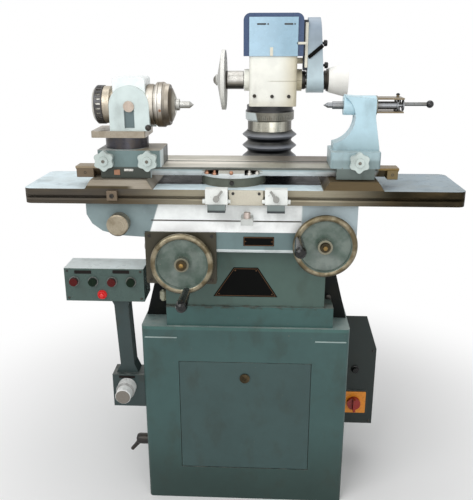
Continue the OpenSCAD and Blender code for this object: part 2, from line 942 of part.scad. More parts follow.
module table_bed() color(enamel) {
    band = 30;
    line = 3;
    wing = bed_top - 96;
    gear_room = idler_r + 4;
    lug = 16;
    difference() {
        union() {
            along_y([-saddle_front, -saddle_back])
                polygon([[-bed_l, bed_top], [-bed_l, bed_top - 34], [-bed_l + 14, bed_top - 60],
                         [-bed_l + 41, bed_top - 80], [-bed_l + 86, bed_top - 92], [-gearbox_l, wing],
                         [-gearbox_l, bed_z], [saddle_r, bed_z], [saddle_r, saddle_z], [bed_r - 30, saddle_z],
                         [bed_r, saddle_z + 30], [bed_r, bed_top]]);
            block([plunger_x - lug, plunger_x + lug], [plunger_y - lug, -saddle_front],
                  [plunger_low, plunger_low + lug]);
        }
        block([-saddle_l - 1, saddle_r + 1], [-saddle_front - 1, -saddle_front + line],
              [bed_z + band, bed_z + band + line]);
        block([-bed_l - 1, bed_r + 1], [rib_y - slide_gap, rib_y + rib_w + slide_gap],
              [bed_top - rib_h - 1, bed_top + 1]);
        block([-bed_l - 1, bed_r + 1], [rack_y - 2, rack_y + rack_w + 2], [rack_z - 2, bed_top + 1]);
        block([traverse_x - gear_room, traverse_x + gear_room], [gear_y - 2, gear_y + gear_w + 2],
              [traverse_z - gear_r - 1.5, bed_top + 1]);
        block([traverse_x - pinion_r - 2, traverse_x + pinion_r + 2], [rack_y - 2, rack_y + rack_w + 2],
              [idler_z - pinion_r - 2, bed_top]);
        rod_y(traverse_x, [-saddle_front - 1, gear_y + gear_w + 22], traverse_z, traverse_r + run_gap);
        rod_y(traverse_x, [gear_y - 20, rack_y + rack_w + 12], idler_z, pinion_shaft_r + run_gap);
        rod_y(lock_knob_x, [-saddle_front - 1, -saddle_front + 40], lock_knob_z, traverse_r + run_gap);
        rod_z(plunger_x, plunger_y, [plunger_low - 1, plunger_top], plunger_r + run_gap);
    }
}

module feed_gearbox() color(bronze) {
    difference() {
        along_y([-gearbox_back - gearbox_t, -gearbox_back])
            round_rect([-gearbox_l, -gearbox_r], [gearbox_low, bed_z], 6);
        rod_y(-feed_x, [-gearbox_back - gearbox_t - 1, -gearbox_back + 1], feed_z, feed_r + run_gap);
    }
}

module place_cross_wheel() {
    translate([-feed_x, -gearbox_back - gearbox_t - slide_gap, feed_z])
        rotate([90, 0, 0])
            rotate([0, 0, cross_turn])
                children();
}

module place_traverse_wheel() {
    translate([traverse_x, -saddle_front - slide_gap, traverse_z])
        rotate([90, 0, 0])
            rotate([0, 0, -90 - traverse_turn])
                children();
}

module cross_handwheel() color(steel) {
    place_cross_wheel()
        handwheel(feed_r + run_gap, true);
}

module cross_screw() color(steel) {
    hub_face = -gearbox_back - gearbox_t - slide_gap - wheel_hub_h;
    cap = 6;
    rod_y(-feed_x, [hub_face - cap, -ped_front + 120], feed_z, feed_r);
    rod_y(-feed_x, [hub_face - cap, hub_face - slide_gap], feed_z, feed_r + 4);
}

module cross_handle() color(black) {
    place_cross_wheel()
        handle_grip();
}

module traverse_handwheel() color(steel) {
    hub_face = -saddle_front - slide_gap - wheel_hub_h;
    cap = 6;
    place_traverse_wheel()
        handwheel(0, true);
    rod_y(traverse_x, [hub_face - cap, gear_y + gear_w + 20], traverse_z, traverse_r);
    along_y([gear_y, gear_y + gear_w])
        translate([traverse_x, traverse_z])
            toothed(gear_r, gear_r, 3);
}

module traverse_handle() color(black) {
    place_traverse_wheel()
        handle_grip();
}

module traverse_pinion() color(steel) {
    rod_y(traverse_x, [gear_y - 18, rack_y + rack_w + 10], idler_z, pinion_shaft_r);
    along_y([gear_y, gear_y + gear_w])
        translate([traverse_x, idler_z])
            toothed(idler_r, idler_r, 3);
    along_y([rack_y, rack_y + rack_w])
        translate([traverse_x, idler_z])
            toothed(pinion_r, pinion_r, 3);
}

module table_lock_knob() color(steel) {
    shank_l = 14;
    knob_l = 38;
    face = -saddle_front - slide_gap;
    rod_y(lock_knob_x, [face, -saddle_front + 38], lock_knob_z, traverse_r);
    rod_y(lock_knob_x, [face - shank_l, face], lock_knob_z, traverse_r + 4);
    translate([lock_knob_x, face - shank_l, lock_knob_z])
        rotate([90, 0, 0])
            rotate_extrude()
                polygon([[0, 0], [lock_knob_r - 5, 0], [lock_knob_r, 5], [lock_knob_r, knob_l - 3],
                         [lock_knob_r - 3, knob_l], [0, knob_l]]);
}

module stop_plunger() color(steel) {
    tip = 1.5;
    translate([plunger_x, plunger_y, plunger_low])
        rotate_extrude()
            polygon([[0, 0], [plunger_r, 0], [plunger_r, plunger_top - plunger_low - tip],
                     [plunger_r - tip, plunger_top - plunger_low], [0, plunger_top - plunger_low]]);
}

module lower_table() color(enamel) {
    pad_slope = 16;
    pads = [[-420, -240], [205, 361]];
    difference() {
        union() {
            slab([-table_l, table_r], [-table_front, -table_back], [table_z, table_top], table_corner);
            for (p = pads)
                along_y([-table_front, -table_back - 5])
                    polygon([[p[0], table_top - 1], [p[1], table_top - 1], [p[1], table_top],
                             [p[1] - pad_slope, pad_top], [p[0] + pad_slope, pad_top], [p[0], table_top]]);
            rod_z(pivot_x, upper_y, [table_top - 1, pad_top], boss_r);
            rod_z(pivot_x, upper_y, [table_top - 1, upper_z + pivot_h], pivot_r);
            block([-table_l + 60, table_r - 60], [rib_y, rib_y + rib_w],
                  [table_z - rib_h + slide_gap, table_z + 1]);
        }
        block([-table_l - 1, table_r + 1], [-table_front - 1, slot_y + 1],
              [slot_z - slot_h / 2, slot_z + slot_h / 2]);
        block([-table_l - 1, table_r + 1], [slot_y, slot_y + tee_d],
              [slot_z - tee_h / 2, slot_z + tee_h / 2]);
    }
}

module table_rack() color(steel) {
    pitch = 2 * PI;
    reach = table_travel + 20;
    count = floor(2 * reach / pitch);
    start = traverse_x - count * pitch / 2;
    tooth = 3;
    teeth = [
        for (i = [0 : count - 1], k = [0 : 3])
            [start + (i + [0, 0.2, 0.5, 0.7][k]) * pitch, k == 1 || k == 2 ? rack_z : rack_z + tooth]
    ];
    ends = [[start + count * pitch, rack_z + tooth], [start + count * pitch, table_z], [start, table_z]];
    along_y([rack_y, rack_y + rack_w])
        polygon(concat(teeth, ends));
}

// Stop dog with its clamp lever and stop screw; the screw points along +X
module stop_dog(x) {
    face = -table_front - slide_gap;
    screw_z = slot_z - 6;
    lever_mid = x + dog_w / 2;
    gap = slide_gap;
    block([x, x + dog_w], [face - dog_t, face], [dog_low + 20, dog_high]);
    block([x + 6, x + dog_w - 6], [face - dog_t - 6, face], [dog_low, dog_low + 20]);
    block([x + 6, x + dog_w - 6], [face, slot_y + gap],
          [slot_z - slot_h / 2 + gap, slot_z + slot_h / 2 - gap]);
    block([x + 6, x + dog_w - 6], [slot_y + gap, slot_y + tee_d - gap],
          [slot_z - tee_h / 2 + gap, slot_z + tee_h / 2 - gap]);
    rod_y(lever_mid, [face - dog_t - 10, face - dog_t], slot_z + 4, 8);
    translate([lever_mid, face - dog_t - 6, slot_z + 4])
        rotate([0, 35, 0])
            cylinder(r = 3, h = 26);
    rod_x([x - 8, x], face - dog_t / 2, screw_z, 6);
    rod_x([x + dog_w, x + dog_w + 7], face - dog_t / 2, screw_z, 5);
}

module left_stop_dog() color(pale_enamel)
    stop_dog(left_dog_x);

module right_stop_dog() color(pale_enamel)
    translate([2 * right_dog_x + dog_w, 0, 0])
        mirror([1, 0, 0])
            stop_dog(right_dog_x);

module upper_table() color(steel) {
    half = upper_w / 2;
    lip = 5;
    draw = 40;
    flange_top = upper_top - upper_z - 8;
    flange_edge = flange_top - 5;
    flange_low_r = boss_r + 5;
    window = [34, 98];
    window_h = 12;
    window_y = -swivel_r - 1;
    mouth = 6;
    mouth_d = 6;
    tee = 11;
    slot_low = upper_top - 13;
    full_l = 385;
    full_r = 345;
    tongue_y = upper_front + 45;
    back = upper_y + half;
    difference() {
        union() {
            along_x([-upper_l, upper_r])
                polygon([[upper_front, upper_top - lip], [upper_front, upper_top], [back, upper_top],
                         [back, upper_top - lip], [back - draw, upper_z], [upper_front + draw, upper_z]]);
            translate([pivot_x, upper_y, upper_z])
                difference() {
                    rotate_extrude()
                        polygon([[0, 0], [flange_low_r, 0], [swivel_r, flange_edge],
                                 [swivel_r, flange_top - 1], [swivel_r - 1, flange_top], [0, flange_top]]);
                    for (m = [-1, 1])
                        block([min(m * window), max(m * window)], [window_y, draw - half - 1],
                              [flange_top - window_h, flange_top + 1]);
                }
        }
        block([-upper_l - 1, upper_r + 1], [upper_y - mouth, upper_y + mouth],
              [upper_top - mouth_d - 1, upper_top + 1]);
        block([-upper_l - 1, upper_r + 1], [upper_y - tee, upper_y + tee],
              [slot_low, upper_top - mouth_d]);
        block([-upper_l - 1, -full_l], [tongue_y, back + 1], [upper_z - 1, upper_top + 1]);
        block([full_r, upper_r + 1], [tongue_y, back + 1], [upper_z - 1, upper_top + 1]);
        rod_z(pivot_x, upper_y, [upper_z - 1, upper_z + pivot_h + 1], pivot_r + run_gap);
    }
}

// Lobed clamping knob along +Z with its stud behind
module star_knob() {
    lobes = 6;
    lobe_d = 5;
    steps = 60;
    hub_r = 12;
    hub_t = 4;
    linear_extrude(star_t)
        polygon([for (i = [0 : steps - 1])
            (star_r - lobe_d * (1 + cos(lobes * i * 360 / steps)) / 2)
            * [cos(i * 360 / steps), sin(i * 360 / steps)]]);
    cylinder(r = hub_r, h = star_t + hub_t);
    translate([0, 0, -stud_depth])
        cylinder(r = star_stud_r, h = stud_depth + 1);
}

module place_star(x) {
    translate([x, lip_front - slide_gap, star_z])
        rotate([90, 0, 0])
            children();
}

module star_hole(x) {
    rod_y(x, [lip_front - 1, lip_front + stud_depth + 1], star_z, star_stud_r + run_gap);
}

module workhead_base() color(enamel) {
    left = -386;
    right = -218;
    difference() {
        union() {
            slab([left, right], [lip_front, head_back], [head_z, base_top], 10);
            block([left + 8, right - 28], [lip_front, lip_back], [lip_low, head_z + 1]);
            rod_z(-swivel_x, work_y, [base_top - 1, drum_top], drum_r);
            rod_z(-swivel_x, work_y, [base_top, drum_top + plate_t - 2], yoke_spigot_r);
        }
        star_hole(star_left);
        star_hole(star_right);
    }
}

module left_star_knob() color(steel)
    place_star(star_left)
        star_knob();

module right_star_knob() color(steel)
    place_star(star_right)
        star_knob();

module yoke_plate() color(steel) {
    difference() {
        slab([-swivel_x - 82, -swivel_x + 60], [work_y - 60, work_y + 60], [plate_z, yoke_z], 6);
        rod_z(-swivel_x, work_y, [plate_z - 1, yoke_z + 1], yoke_spigot_r + run_gap);
    }
}

module yoke_arm(y) {
    slot_half = 13;
    difference() {
        along_y(y)
            union() {
                translate([-trunnion_x, axis_z])
                    circle(yoke_r);
                translate([-trunnion_x - yoke_r, yoke_z])
                    square([2 * yoke_r, axis_z - yoke_z]);
            }
        rod_y(-trunnion_x, [y[0] - 1, y[1] + 1], axis_z, trunnion_r + run_gap);
        block([-trunnion_x - slot_half, -trunnion_x + slot_half], [arm_front - 1, arm_front + 4],
              [yoke_z + 6, axis_z]);
    }
}

module workhead_yoke() color(pale_enamel) {
    foot_t = 8;
    yoke_arm([arm_front, arm_front + yoke_t]);
    yoke_arm([arm_back - yoke_t, arm_back]);
    block([-trunnion_x - yoke_r + 5, -trunnion_x + yoke_r - 32], [arm_front + 1, arm_back - 1],
          [yoke_z, yoke_z + foot_t]);
}

module workhead_housing() color(pale_enamel) {
    left = -trunnion_x - 43;
    right = -trunnion_x + 41;
    inner = [arm_front + yoke_t + slide_gap, arm_back - yoke_t - slide_gap];
    flange = [-trunnion_x - 72, -trunnion_x - yoke_r - 2];
    difference() {
        union() {
            along_y(inner)
                round_rect([left, right], [axis_z - 48, axis_z + 72], 8);
            rod_x([flange[0], -trunnion_x + 57], work_y, axis_z, 38);
            rod_x(flange, work_y, axis_z, index_r - 2);
            rod_y(-trunnion_x, [arm_front - 3, arm_back], axis_z, trunnion_r);
        }
        rod_x([flange[0] - 1, -trunnion_x + 58], work_y, axis_z, work_r + run_gap);
    }
}

module work_spindle() color(steel) {
    tail = -trunnion_x - 99;
    ring_end = -trunnion_x - 73;
    nose = -trunnion_x + 62;
    bevel = 8;
    notch = 5;
    notch_l = 12;
    notch_d = 6;
    land = 3;
    difference() {
        turned_x(work_y, axis_z)
            polygon([[0, tail], [index_r - bevel, tail], [index_r, tail + bevel], [index_r, ring_end],
                     [work_r, ring_end], [work_r, nose], [work_nose_r - 6, nose], [work_nose_r, nose + 6],
                     [work_nose_r, work_face - 28], [work_nose_r - 16, work_face - 8],
                     [work_nose_r - 34, work_face], [0, work_face]]);
        for (i = [0 : index_notches - 1])
            translate([tail, work_y, axis_z])
                rotate([(i + 0.5) * 360 / index_notches, 0, 0])
                    translate([bevel + land, -notch / 2, index_r - notch_d])
                        cube([notch_l, notch, 2 * notch_d]);
        rod_x([work_face - 40, work_face + 1], work_y, axis_z, centre_r + run_gap);
    }
}

module work_centre() color(steel) {
    tip = work_face + 48;
    back = work_face - 39;
    rim_r = centre_r + 3;
    tip_r = 9;
    turned_x(work_y, axis_z)
        polygon([[0, back], [centre_r, back], [centre_r, work_face + 2], [rim_r, work_face + 2],
                 [rim_r, work_face + 10], [tip_r, work_face + 12], [tip_r, tip - 11], [0, tip]]);
}

module tailstock() color(pale_enamel) {
    right = tail_x + tail_w;
    neck_l = tail_x + tail_throat;
    neck_high = neck_l + tail_neck;
    deep = 30;
    ear_low = axis_z - ear_gap / 2 - ear_t;
    difference() {
        union() {
            slab([tail_x - 8, right], [lip_front, arm_back], [head_z, head_z + 42], 8);
            block([tail_x + 8, right - 14], [lip_front, lip_back], [lip_low, head_z + 1]);
            along_y([work_y - deep, work_y + deep])
                difference() {
                    polygon([[tail_x, head_z + 30], [right, head_z + 30], [right, head_z + 46],
                             [neck_high, axis_z - 30], [neck_high, axis_z + 18], [tail_x + 28, axis_z + 26],
                             [tail_x + 28, axis_z - 22], [neck_l, axis_z - 30], [tail_x, axis_z - 30]]);
                    translate([tail_x - 12, axis_z - 30])
                        circle(neck_l - tail_x + 10);
                }
            rod_x([tail_x + 24, neck_high + 4], work_y, axis_z, head_boss_r);
            for (z = [ear_low, ear_low + ear_gap + ear_t])
                block([neck_high - 8, ear_x], [work_y - 12, lever_y + 12], [z, z + ear_t]);
            rod_z(lever_x, lever_y, [ear_low, ear_low + ear_gap + 2 * ear_t + 5], lever_pin_r);
        }
        rod_x([tail_x - 20, neck_high + 20], work_y, axis_z, quill_r + run_gap);
        star_hole(star_tail);
    }
}

module tailstock_knob() color(steel)
    place_star(star_tail)
        star_knob();

module tailstock_quill() color(steel) {
    tip = tail_x - quill_out;
    step = tail_x - 4;
    groove = [lever_x - roller_r - 2, lever_x + roller_r + 2];
    rim = 3;
    turned_x(work_y, axis_z)
        polygon([[0, tip], [quill_r - 3, tip + 12], [quill_r - 3, step], [quill_r, step],
                 [quill_r, groove[0] - rim], [quill_collar_r, groove[0] - rim],
                 [quill_collar_r, groove[0]], [neck_r, groove[0]],
                 [neck_r, groove[1]], [quill_collar_r, groove[1]], [quill_collar_r, groove[1] + rim],
                 [0, groove[1] + rim]]);
}

module tailstock_lever() color(dark_steel) {
    hub_r = 8.5;
    arm_t = 4;
    half = ear_gap / 2 - slide_gap;
    arm_end = lever_x + 77;
    ball_r = 10;
    roller_y = work_y + neck_r + roller_r + slide_gap;
    difference() {
        union() {
            rod_z(lever_x, lever_y, [axis_z - half, axis_z + half], hub_r);
            rod_x([lever_x, arm_end], lever_y, axis_z, 5);
            translate([arm_end + ball_r - 2, lever_y, axis_z])
                sphere(ball_r);
            block([lever_x - 4, lever_x + 4], [roller_y, lever_y], [axis_z + half - arm_t, axis_z + half]);
            rod_z(lever_x, roller_y, [axis_z - 4, axis_z + half], roller_r);
        }
        rod_z(lever_x, lever_y, [axis_z - half - 1, axis_z + half + 1], lever_pin_r + run_gap);
    }
}

module pendant_box() color(enamel) {
    x = [pendant_x, pendant_x + pendant_w];
    y = [pendant_front, pendant_front + pendant_d];
    z = [pendant_z, pendant_z + pendant_h];
    difference() {
        block(x, y, z);
        block([x[0] + box_wall, x[1] - box_wall], [y[0] + box_wall, y[1] - box_wall],
              [z[0] + box_wall, z[1] - box_wall]);
        for (i = [0 : 3])
            rod_y(button_x + i * button_pitch, [y[0] - 1, y[0] + box_wall + 1], button_z, stem_r + run_gap);
        rod_y(lamp_x, [y[0] - 1, y[0] + box_wall + 1], lamp_z, lamp_r - 2 + run_gap);
    }
}

module push_button(i, shade) color(shade) {
    x = button_x + i * button_pitch;
    back = pendant_front - button_travel - 1;
    rod_y(x, [back - 7, back], button_z, button_r);
    rod_y(x, [back, pendant_front + 16], button_z, stem_r);
}

module push_button_1() push_button(0, red);

module push_button_2() push_button(1, green);

module push_button_3() push_button(2, red);

module push_button_4() push_button(3, green);

module pilot_lamp() color(red) {
    base_t = 5;
    rod_y(lamp_x, [pendant_front - base_t, pendant_front], lamp_z, lamp_r);
    rod_y(lamp_x, [pendant_front - 1, pendant_front + 14], lamp_z, lamp_r - 2);
    translate([lamp_x, pendant_front - base_t, lamp_z])
        sphere(lamp_r - 1);
}

module pendant_post() color(enamel) {
    top_half = 30;
    half = 21;
    collar = 22;
    lean = 10;
    flare_z = switch_high + 28;
    depth = [switch_front + 15, switch_back - 3];
    difference() {
        union() {
            along_y(depth)
                polygon([[post_x - top_half, pendant_z], [post_x + top_half, pendant_z],
                         [post_x + half + 2, pendant_z - collar], [post_x + half + lean, flare_z],
                         [-side_x - 20, switch_high], [-switch_l + 10, switch_high],
                         [post_x - half + lean, flare_z], [post_x - half + 2, pendant_z - collar]]);
            block([-switch_l, -side_x], [switch_front, switch_back], [switch_low, switch_high]);
        }
        block([-switch_l + box_wall, -side_x - box_wall], [switch_front + box_wall, switch_back - box_wall],
              [switch_low + box_wall, switch_high - box_wall]);
        rod_y(switch_x, [switch_front - 1, switch_front + box_wall + 1], switch_z, switch_stem_r + run_gap);
    }
}

module switch_knob() color(stone) {
    face = switch_front - slide_gap;
    translate([switch_x, face, switch_z])
        rotate([90, 0, 0])
            rotate_extrude()
                polygon([[0, 0], [28, 0], [28, 30], [23, 34], [23, 62], [20, 66], [0, 66]]);
    rod_y(switch_x, [face - 1, switch_front + 20], switch_z, switch_stem_r);
}

// Outline of the electrical box with its slanted corner and its lid falling to the back
module panel_shape(w) {
    right = side_x + panel_w - w;
    top = panel_z + panel_h - w;
    cut_x = 38;
    cut_z = 116;
    fall = panel_d * 0.6;
    intersection() {
        along_y([panel_front + w, panel_front + panel_d - w])
            polygon([[side_x + w, panel_z + w], [right, panel_z + w], [right, top - cut_z],
                     [right - cut_x, top], [side_x + w, top]]);
        along_x([side_x, side_x + panel_w])
            polygon([[panel_front, panel_z], [panel_front + panel_d, panel_z],
                     [panel_front + panel_d, top - fall], [panel_front, top]]);
    }
}

module electrical_box() color(enamel) {
    gland_l = 20;
    gland_x = side_x + panel_w / 2;
    gland_y = panel_front + panel_d / 2;
    difference() {
        union() {
            panel_shape(0);
            rod_z(gland_x, gland_y, [panel_z - gland_l, panel_z + 1], gland_d / 2 + 6);
        }
        panel_shape(box_wall);
        rod_z(gland_x, gland_y, [panel_z - gland_l - 1, panel_z + box_wall + 1], gland_d / 2);
        rod_y(isolator_x, [panel_front - 1, panel_front + box_wall + 1], isolator_z, stem_r + run_gap);
    }
}

module isolator_knob() color(red) {
    plate_room = 5;
    face = panel_front - plate_room;
    knob_r = 22;
    grip = 8;
    rod_y(isolator_x, [face - 12, face], isolator_z, knob_r);
    rod_y(isolator_x, [face - 1, panel_front + 16], isolator_z, stem_r);
    block([isolator_x - grip / 2, isolator_x + grip / 2], [face - 26, face - 11],
          [isolator_z - knob_r, isolator_z + knob_r]);
}

base_cabinet();
apron();
pedestal();
electrical_box();
pendant_box();
pilot_lamp();
pendant_post();
cabinet_door();
door_lock();
isolator_knob();
switch_knob();
push_button_1();
push_button_2();
push_button_3();
push_button_4();
elevating_handwheel();
elevating_screw();
column();
bellows();
graduated_collar();
wheelhead_housing();
spindle_bearings();
motor_cover();
motor();
belt_guard();
drive_belt();
grinding_spindle();
dish_wheel();
cup_wheel();
spindle_pulley();
motor_pulley();
saddle();
table_bed();
feed_gearbox();
cross_handwheel();
cross_screw();
cross_handle();
traverse_handwheel();
traverse_handle();
traverse_pinion();
table_lock_knob();
stop_plunger();
lower_table();
table_rack();
left_stop_dog();
right_stop_dog();
upper_table();
workhead_base();
left_star_knob();
right_star_knob();
yoke_plate();
workhead_yoke();
workhead_housing();
work_spindle();
work_centre();
tailstock();
tailstock_knob();
tailstock_quill();
tailstock_lever();
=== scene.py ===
# %% [markdown]
# # A tool and cutter grinder
# The castings, tables and wheels of this machine come ready-made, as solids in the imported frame.
# Blender adds what a solid can't say: enamel that has aged, ground steel with oil on it, a rubber
# bellows, and the small plates, screws and knobs that a workshop machine carries.
# Sizes below are in millimetres. The last step of each piece turns them into metres.

# %% The frame
import math

import bmesh
import bpy
from mathutils import Matrix, Vector


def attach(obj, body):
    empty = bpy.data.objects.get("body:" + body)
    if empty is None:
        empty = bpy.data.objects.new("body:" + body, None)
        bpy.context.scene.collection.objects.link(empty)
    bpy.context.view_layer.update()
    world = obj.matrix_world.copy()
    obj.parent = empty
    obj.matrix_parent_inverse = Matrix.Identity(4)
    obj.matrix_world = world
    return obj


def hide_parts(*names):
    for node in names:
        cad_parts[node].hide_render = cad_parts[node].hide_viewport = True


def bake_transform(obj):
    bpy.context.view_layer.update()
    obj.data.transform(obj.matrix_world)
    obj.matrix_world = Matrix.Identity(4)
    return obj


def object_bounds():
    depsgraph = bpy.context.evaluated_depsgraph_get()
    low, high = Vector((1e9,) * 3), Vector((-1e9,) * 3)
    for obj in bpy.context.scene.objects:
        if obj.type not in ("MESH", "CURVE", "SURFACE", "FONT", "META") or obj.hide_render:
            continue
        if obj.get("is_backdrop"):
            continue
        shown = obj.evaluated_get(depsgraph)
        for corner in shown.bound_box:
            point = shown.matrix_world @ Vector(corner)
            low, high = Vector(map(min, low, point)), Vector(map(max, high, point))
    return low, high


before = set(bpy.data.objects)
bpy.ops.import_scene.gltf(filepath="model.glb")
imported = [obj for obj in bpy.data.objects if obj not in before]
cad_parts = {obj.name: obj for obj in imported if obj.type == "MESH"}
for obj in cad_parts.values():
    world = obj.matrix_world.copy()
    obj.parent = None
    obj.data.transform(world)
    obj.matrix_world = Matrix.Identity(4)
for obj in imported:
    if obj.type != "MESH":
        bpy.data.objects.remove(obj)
cad_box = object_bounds()
MM = 0.001
# The shafts along x and y and the swivels about z, each by its two places across.
SPINDLE_AXIS, MOTOR_AXIS, LIFT_AXIS = (0, 1282.3), (0, 1411.3), (0, 735)
WORK_AXIS, LEVER_AXIS = (-285, 1234.9), (-250, 1234.9)
CROSS_AXIS, TRAVERSE_AXIS, PINION_AXIS = (-168, 822), (215, 876), (215, 940.4)
LOCK_AXIS, TILT_AXIS, DOOR_LOCK_AXIS = (-332, 934.3), (-298, 1234.9), (0, 435)
COLUMN_AXIS, HEAD_AXIS, SWIVEL_AXIS, PLUNGER_AXIS = (64, 0), (-318, -285), (-34, -250), (8, -383)

# %% [markdown]
# ## Camera
# The machine was seen from a little above the tables and from just right of its middle.
# A camera can be aimed by a constraint or by its angles. The angles are used here, because a
# photograph that was lined up with the solids gives them directly: a turn, a dip and a slight lean.

# %% Camera
VIEW_PLACE = Vector((60.4, -1975.4, 1391.8)) * MM
VIEW_TURN, VIEW_DIP, VIEW_LEAN = (math.radians(a) for a in (2.88, 18.24, -0.10))
FOCUS_PX, LONG_SIDE_PX, SENSOR = 631.5, 500, 36.0


def aimed(place, turn, dip, lean):
    """A camera matrix from its compass turn, its dip below the horizon and its lean."""
    ahead = Vector((-math.sin(turn) * math.cos(dip), math.cos(turn) * math.cos(dip), -math.sin(dip)))
    across = Vector((math.cos(turn), math.sin(turn), 0.0))
    above = across.cross(ahead)
    right = across * math.cos(lean) + above * math.sin(lean)
    up = above * math.cos(lean) - across * math.sin(lean)
    matrix = Matrix((right, up, -ahead)).transposed().to_4x4()
    matrix.translation = place
    return matrix


lens = bpy.data.cameras.new("view")
lens.sensor_width = SENSOR
lens.lens = FOCUS_PX / LONG_SIDE_PX * SENSOR
camera = bpy.data.objects.new("view", lens)
camera.matrix_world = aimed(VIEW_PLACE, VIEW_TURN, VIEW_DIP, VIEW_LEAN)
bpy.context.scene.collection.objects.link(camera)
bpy.context.scene.camera = camera
print("lens:", round(lens.lens, 2), "mm")

# %% [markdown]
# ## Shader sums
# A finish is mostly arithmetic: masks are multiplied, heights are added, tones are mixed.
# Nodes can be wired one by one, but the wiring hides the sum. Here one small class wraps a socket,
# so that `1 - mask * 0.5` is written as it is meant and leaves its Math nodes behind.

# %% Flow and Board


class Flow:
    """One value that runs between shader nodes."""

    def __init__(self, board, socket):
        self.board = board
        self.socket = socket

    def sum(self, operation, first, second=0.0):
        return self.board.add("Math", {"operation": operation}, {0: first, 1: second})

    def __add__(self, other):
        return self.sum("ADD", self, other)

    def __sub__(self, other):
        return self.sum("SUBTRACT", self, other)

    def __rsub__(self, other):
        return self.sum("SUBTRACT", other, self)

    def __mul__(self, other):
        return self.sum("MULTIPLY", self, other)

    def __lt__(self, other):
        return self.sum("LESS_THAN", self, other)

    __radd__ = __add__
    __rmul__ = __mul__


class Board:
    """A tree of shader nodes, with one method that adds any of them."""

    def __init__(self, tree):
        self.tree = tree
        tree.nodes.clear()

    def add(self, kind, settings=(), sockets=(), output=0):
        node = self.tree.nodes.new("ShaderNode" + kind)
        for name, value in dict(settings).items():
            setattr(node, name, value)
        for key, value in dict(sockets).items():
            if isinstance(value, Flow):
                self.tree.links.new(value.socket, node.inputs[key])
            else:
                node.inputs[key].default_value = value
        return Flow(self, node.outputs[output]) if node.outputs else None


def tint(red, green, blue):
    """A colour as a picture gives it, 0 to 255, in the straight scale that shaders use."""
    share = [c / 255 for c in (red, green, blue)]
    return tuple(c / 12.92 if c <= 0.04045 else ((c + 0.055) / 1.055) ** 2.4 for c in share) + (1.0,)


print("mid grey:", [round(c, 3) for c in tint(128, 128, 128)])

# %% [markdown]
# ## Floor and light
# The machine stands on a plain pale floor under soft light. A backdrop could be a bent sheet.
# Here the floor is a wide disc that turns into plain white away from the machine, and the world
# is white wherever the eye or a reflection meets it. The world lights matt surfaces less than that, so
# that three broad lamps can still shape the castings.

# %% Floor, world and lamps
WORLD_LEVEL = 0.50
FLOOR_R, FLOOR_SIDES = 9.0, 96
FADE_FROM, FADE_TO = 0.6, 1.5
WHITE, PALE = (1, 1, 1, 1), (0.92, 0.92, 0.92, 1)


def seen(board):
    """1 where the eye, a mirror or glass looks, and 0 for the light on matt surfaces."""
    ways = [board.add("LightPath", output="Is %s Ray" % way) for way in ("Camera", "Glossy", "Transmission")]
    return board.add("Math", {"operation": "ADD", "use_clamp": True}, {0: ways[0] + ways[1], 1: ways[2]})


world = bpy.data.worlds.new("studio")
world.use_nodes = True
bpy.context.scene.world = world
sky = Board(world.node_tree)
dim = sky.add("Background", (), {"Color": WHITE, "Strength": WORLD_LEVEL})
white = sky.add("Background", (), {"Color": WHITE, "Strength": 1.0})
sky.add("OutputWorld", (), {"Surface": sky.add("MixShader", (), {0: seen(sky), 1: dim, 2: white})})

disc = bmesh.new()
bmesh.ops.create_circle(disc, cap_ends=True, radius=FLOOR_R, segments=FLOOR_SIDES)
floor_mesh = bpy.data.meshes.new("floor")
disc.to_mesh(floor_mesh)
disc.free()
floor = bpy.data.objects.new("floor", floor_mesh)
bpy.context.scene.collection.objects.link(floor)
floor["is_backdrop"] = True
pale = bpy.data.materials.new("pale_floor")
pale.use_nodes = True
ground_board = Board(pale.node_tree)
spread = ground_board.add(
    "VectorMath", {"operation": "LENGTH"}, {0: ground_board.add("TexCoord", output="Object")}, "Value"
)
far = ground_board.add(
    "MapRange", {"interpolation_type": "SMOOTHSTEP"}, {0: spread, 1: FADE_FROM, 2: FADE_TO}
)
matt = ground_board.add("BsdfDiffuse", (), {"Color": PALE})
glow = ground_board.add("Emission", (), {"Color": WHITE, "Strength": 1.0})
share = far * seen(ground_board)
ground_board.add(
    "OutputMaterial", (), {"Surface": ground_board.add("MixShader", (), {0: share, 1: matt, 2: glow})}
)
floor_mesh.materials.append(pale)

# Each lamp by its place, the spot it looks at, its width and its power.
LAMPS = {
    "key": ((-1.5, -2.4, 2.9), (0.0, -0.2, 0.95), 2.2, 46.0),
    "front": ((0.9, -3.2, 1.5), (0.0, 0.0, 0.8), 2.4, 26.0),
    "over": ((0.2, 0.1, 3.3), (0.0, -0.1, 1.0), 2.0, 20.0),
}
for name, (place, target, size, power) in LAMPS.items():
    lamp = bpy.data.lights.new(name, "AREA")
    lamp.size = size
    lamp.energy = power
    holder = bpy.data.objects.new(name, lamp)
    holder.location = place
    holder.rotation_mode = "QUATERNION"
    holder.rotation_quaternion = (Vector(target) - Vector(place)).to_track_quat("-Z", "Y")
    bpy.context.scene.collection.objects.link(holder)
bpy.context.scene.view_settings.view_transform = "Standard"
print("lamps:", ", ".join(LAMPS))

# %% [markdown]
# ## A finish and its layers
# Painted iron is iron, then enamel, then what years leave on it. So a finish is built as layers that
# cover one another by a mask, and each layer carries a tone, a roughness, a metal share and a height.
# The other way, one long chain of nodes, can't be reused from casting to casting.
# Places are read in millimetres from the object's own coordinates, so they turn with their piece.

# %% Finish


class Layer:
    """One skin of a surface: its tone, roughness, share of bare metal, and height in mm."""

    def __init__(self, tone, rough=0.4, metal=0.0, height=0.0):
        self.tone, self.rough, self.metal, self.height = tone, rough, metal, height


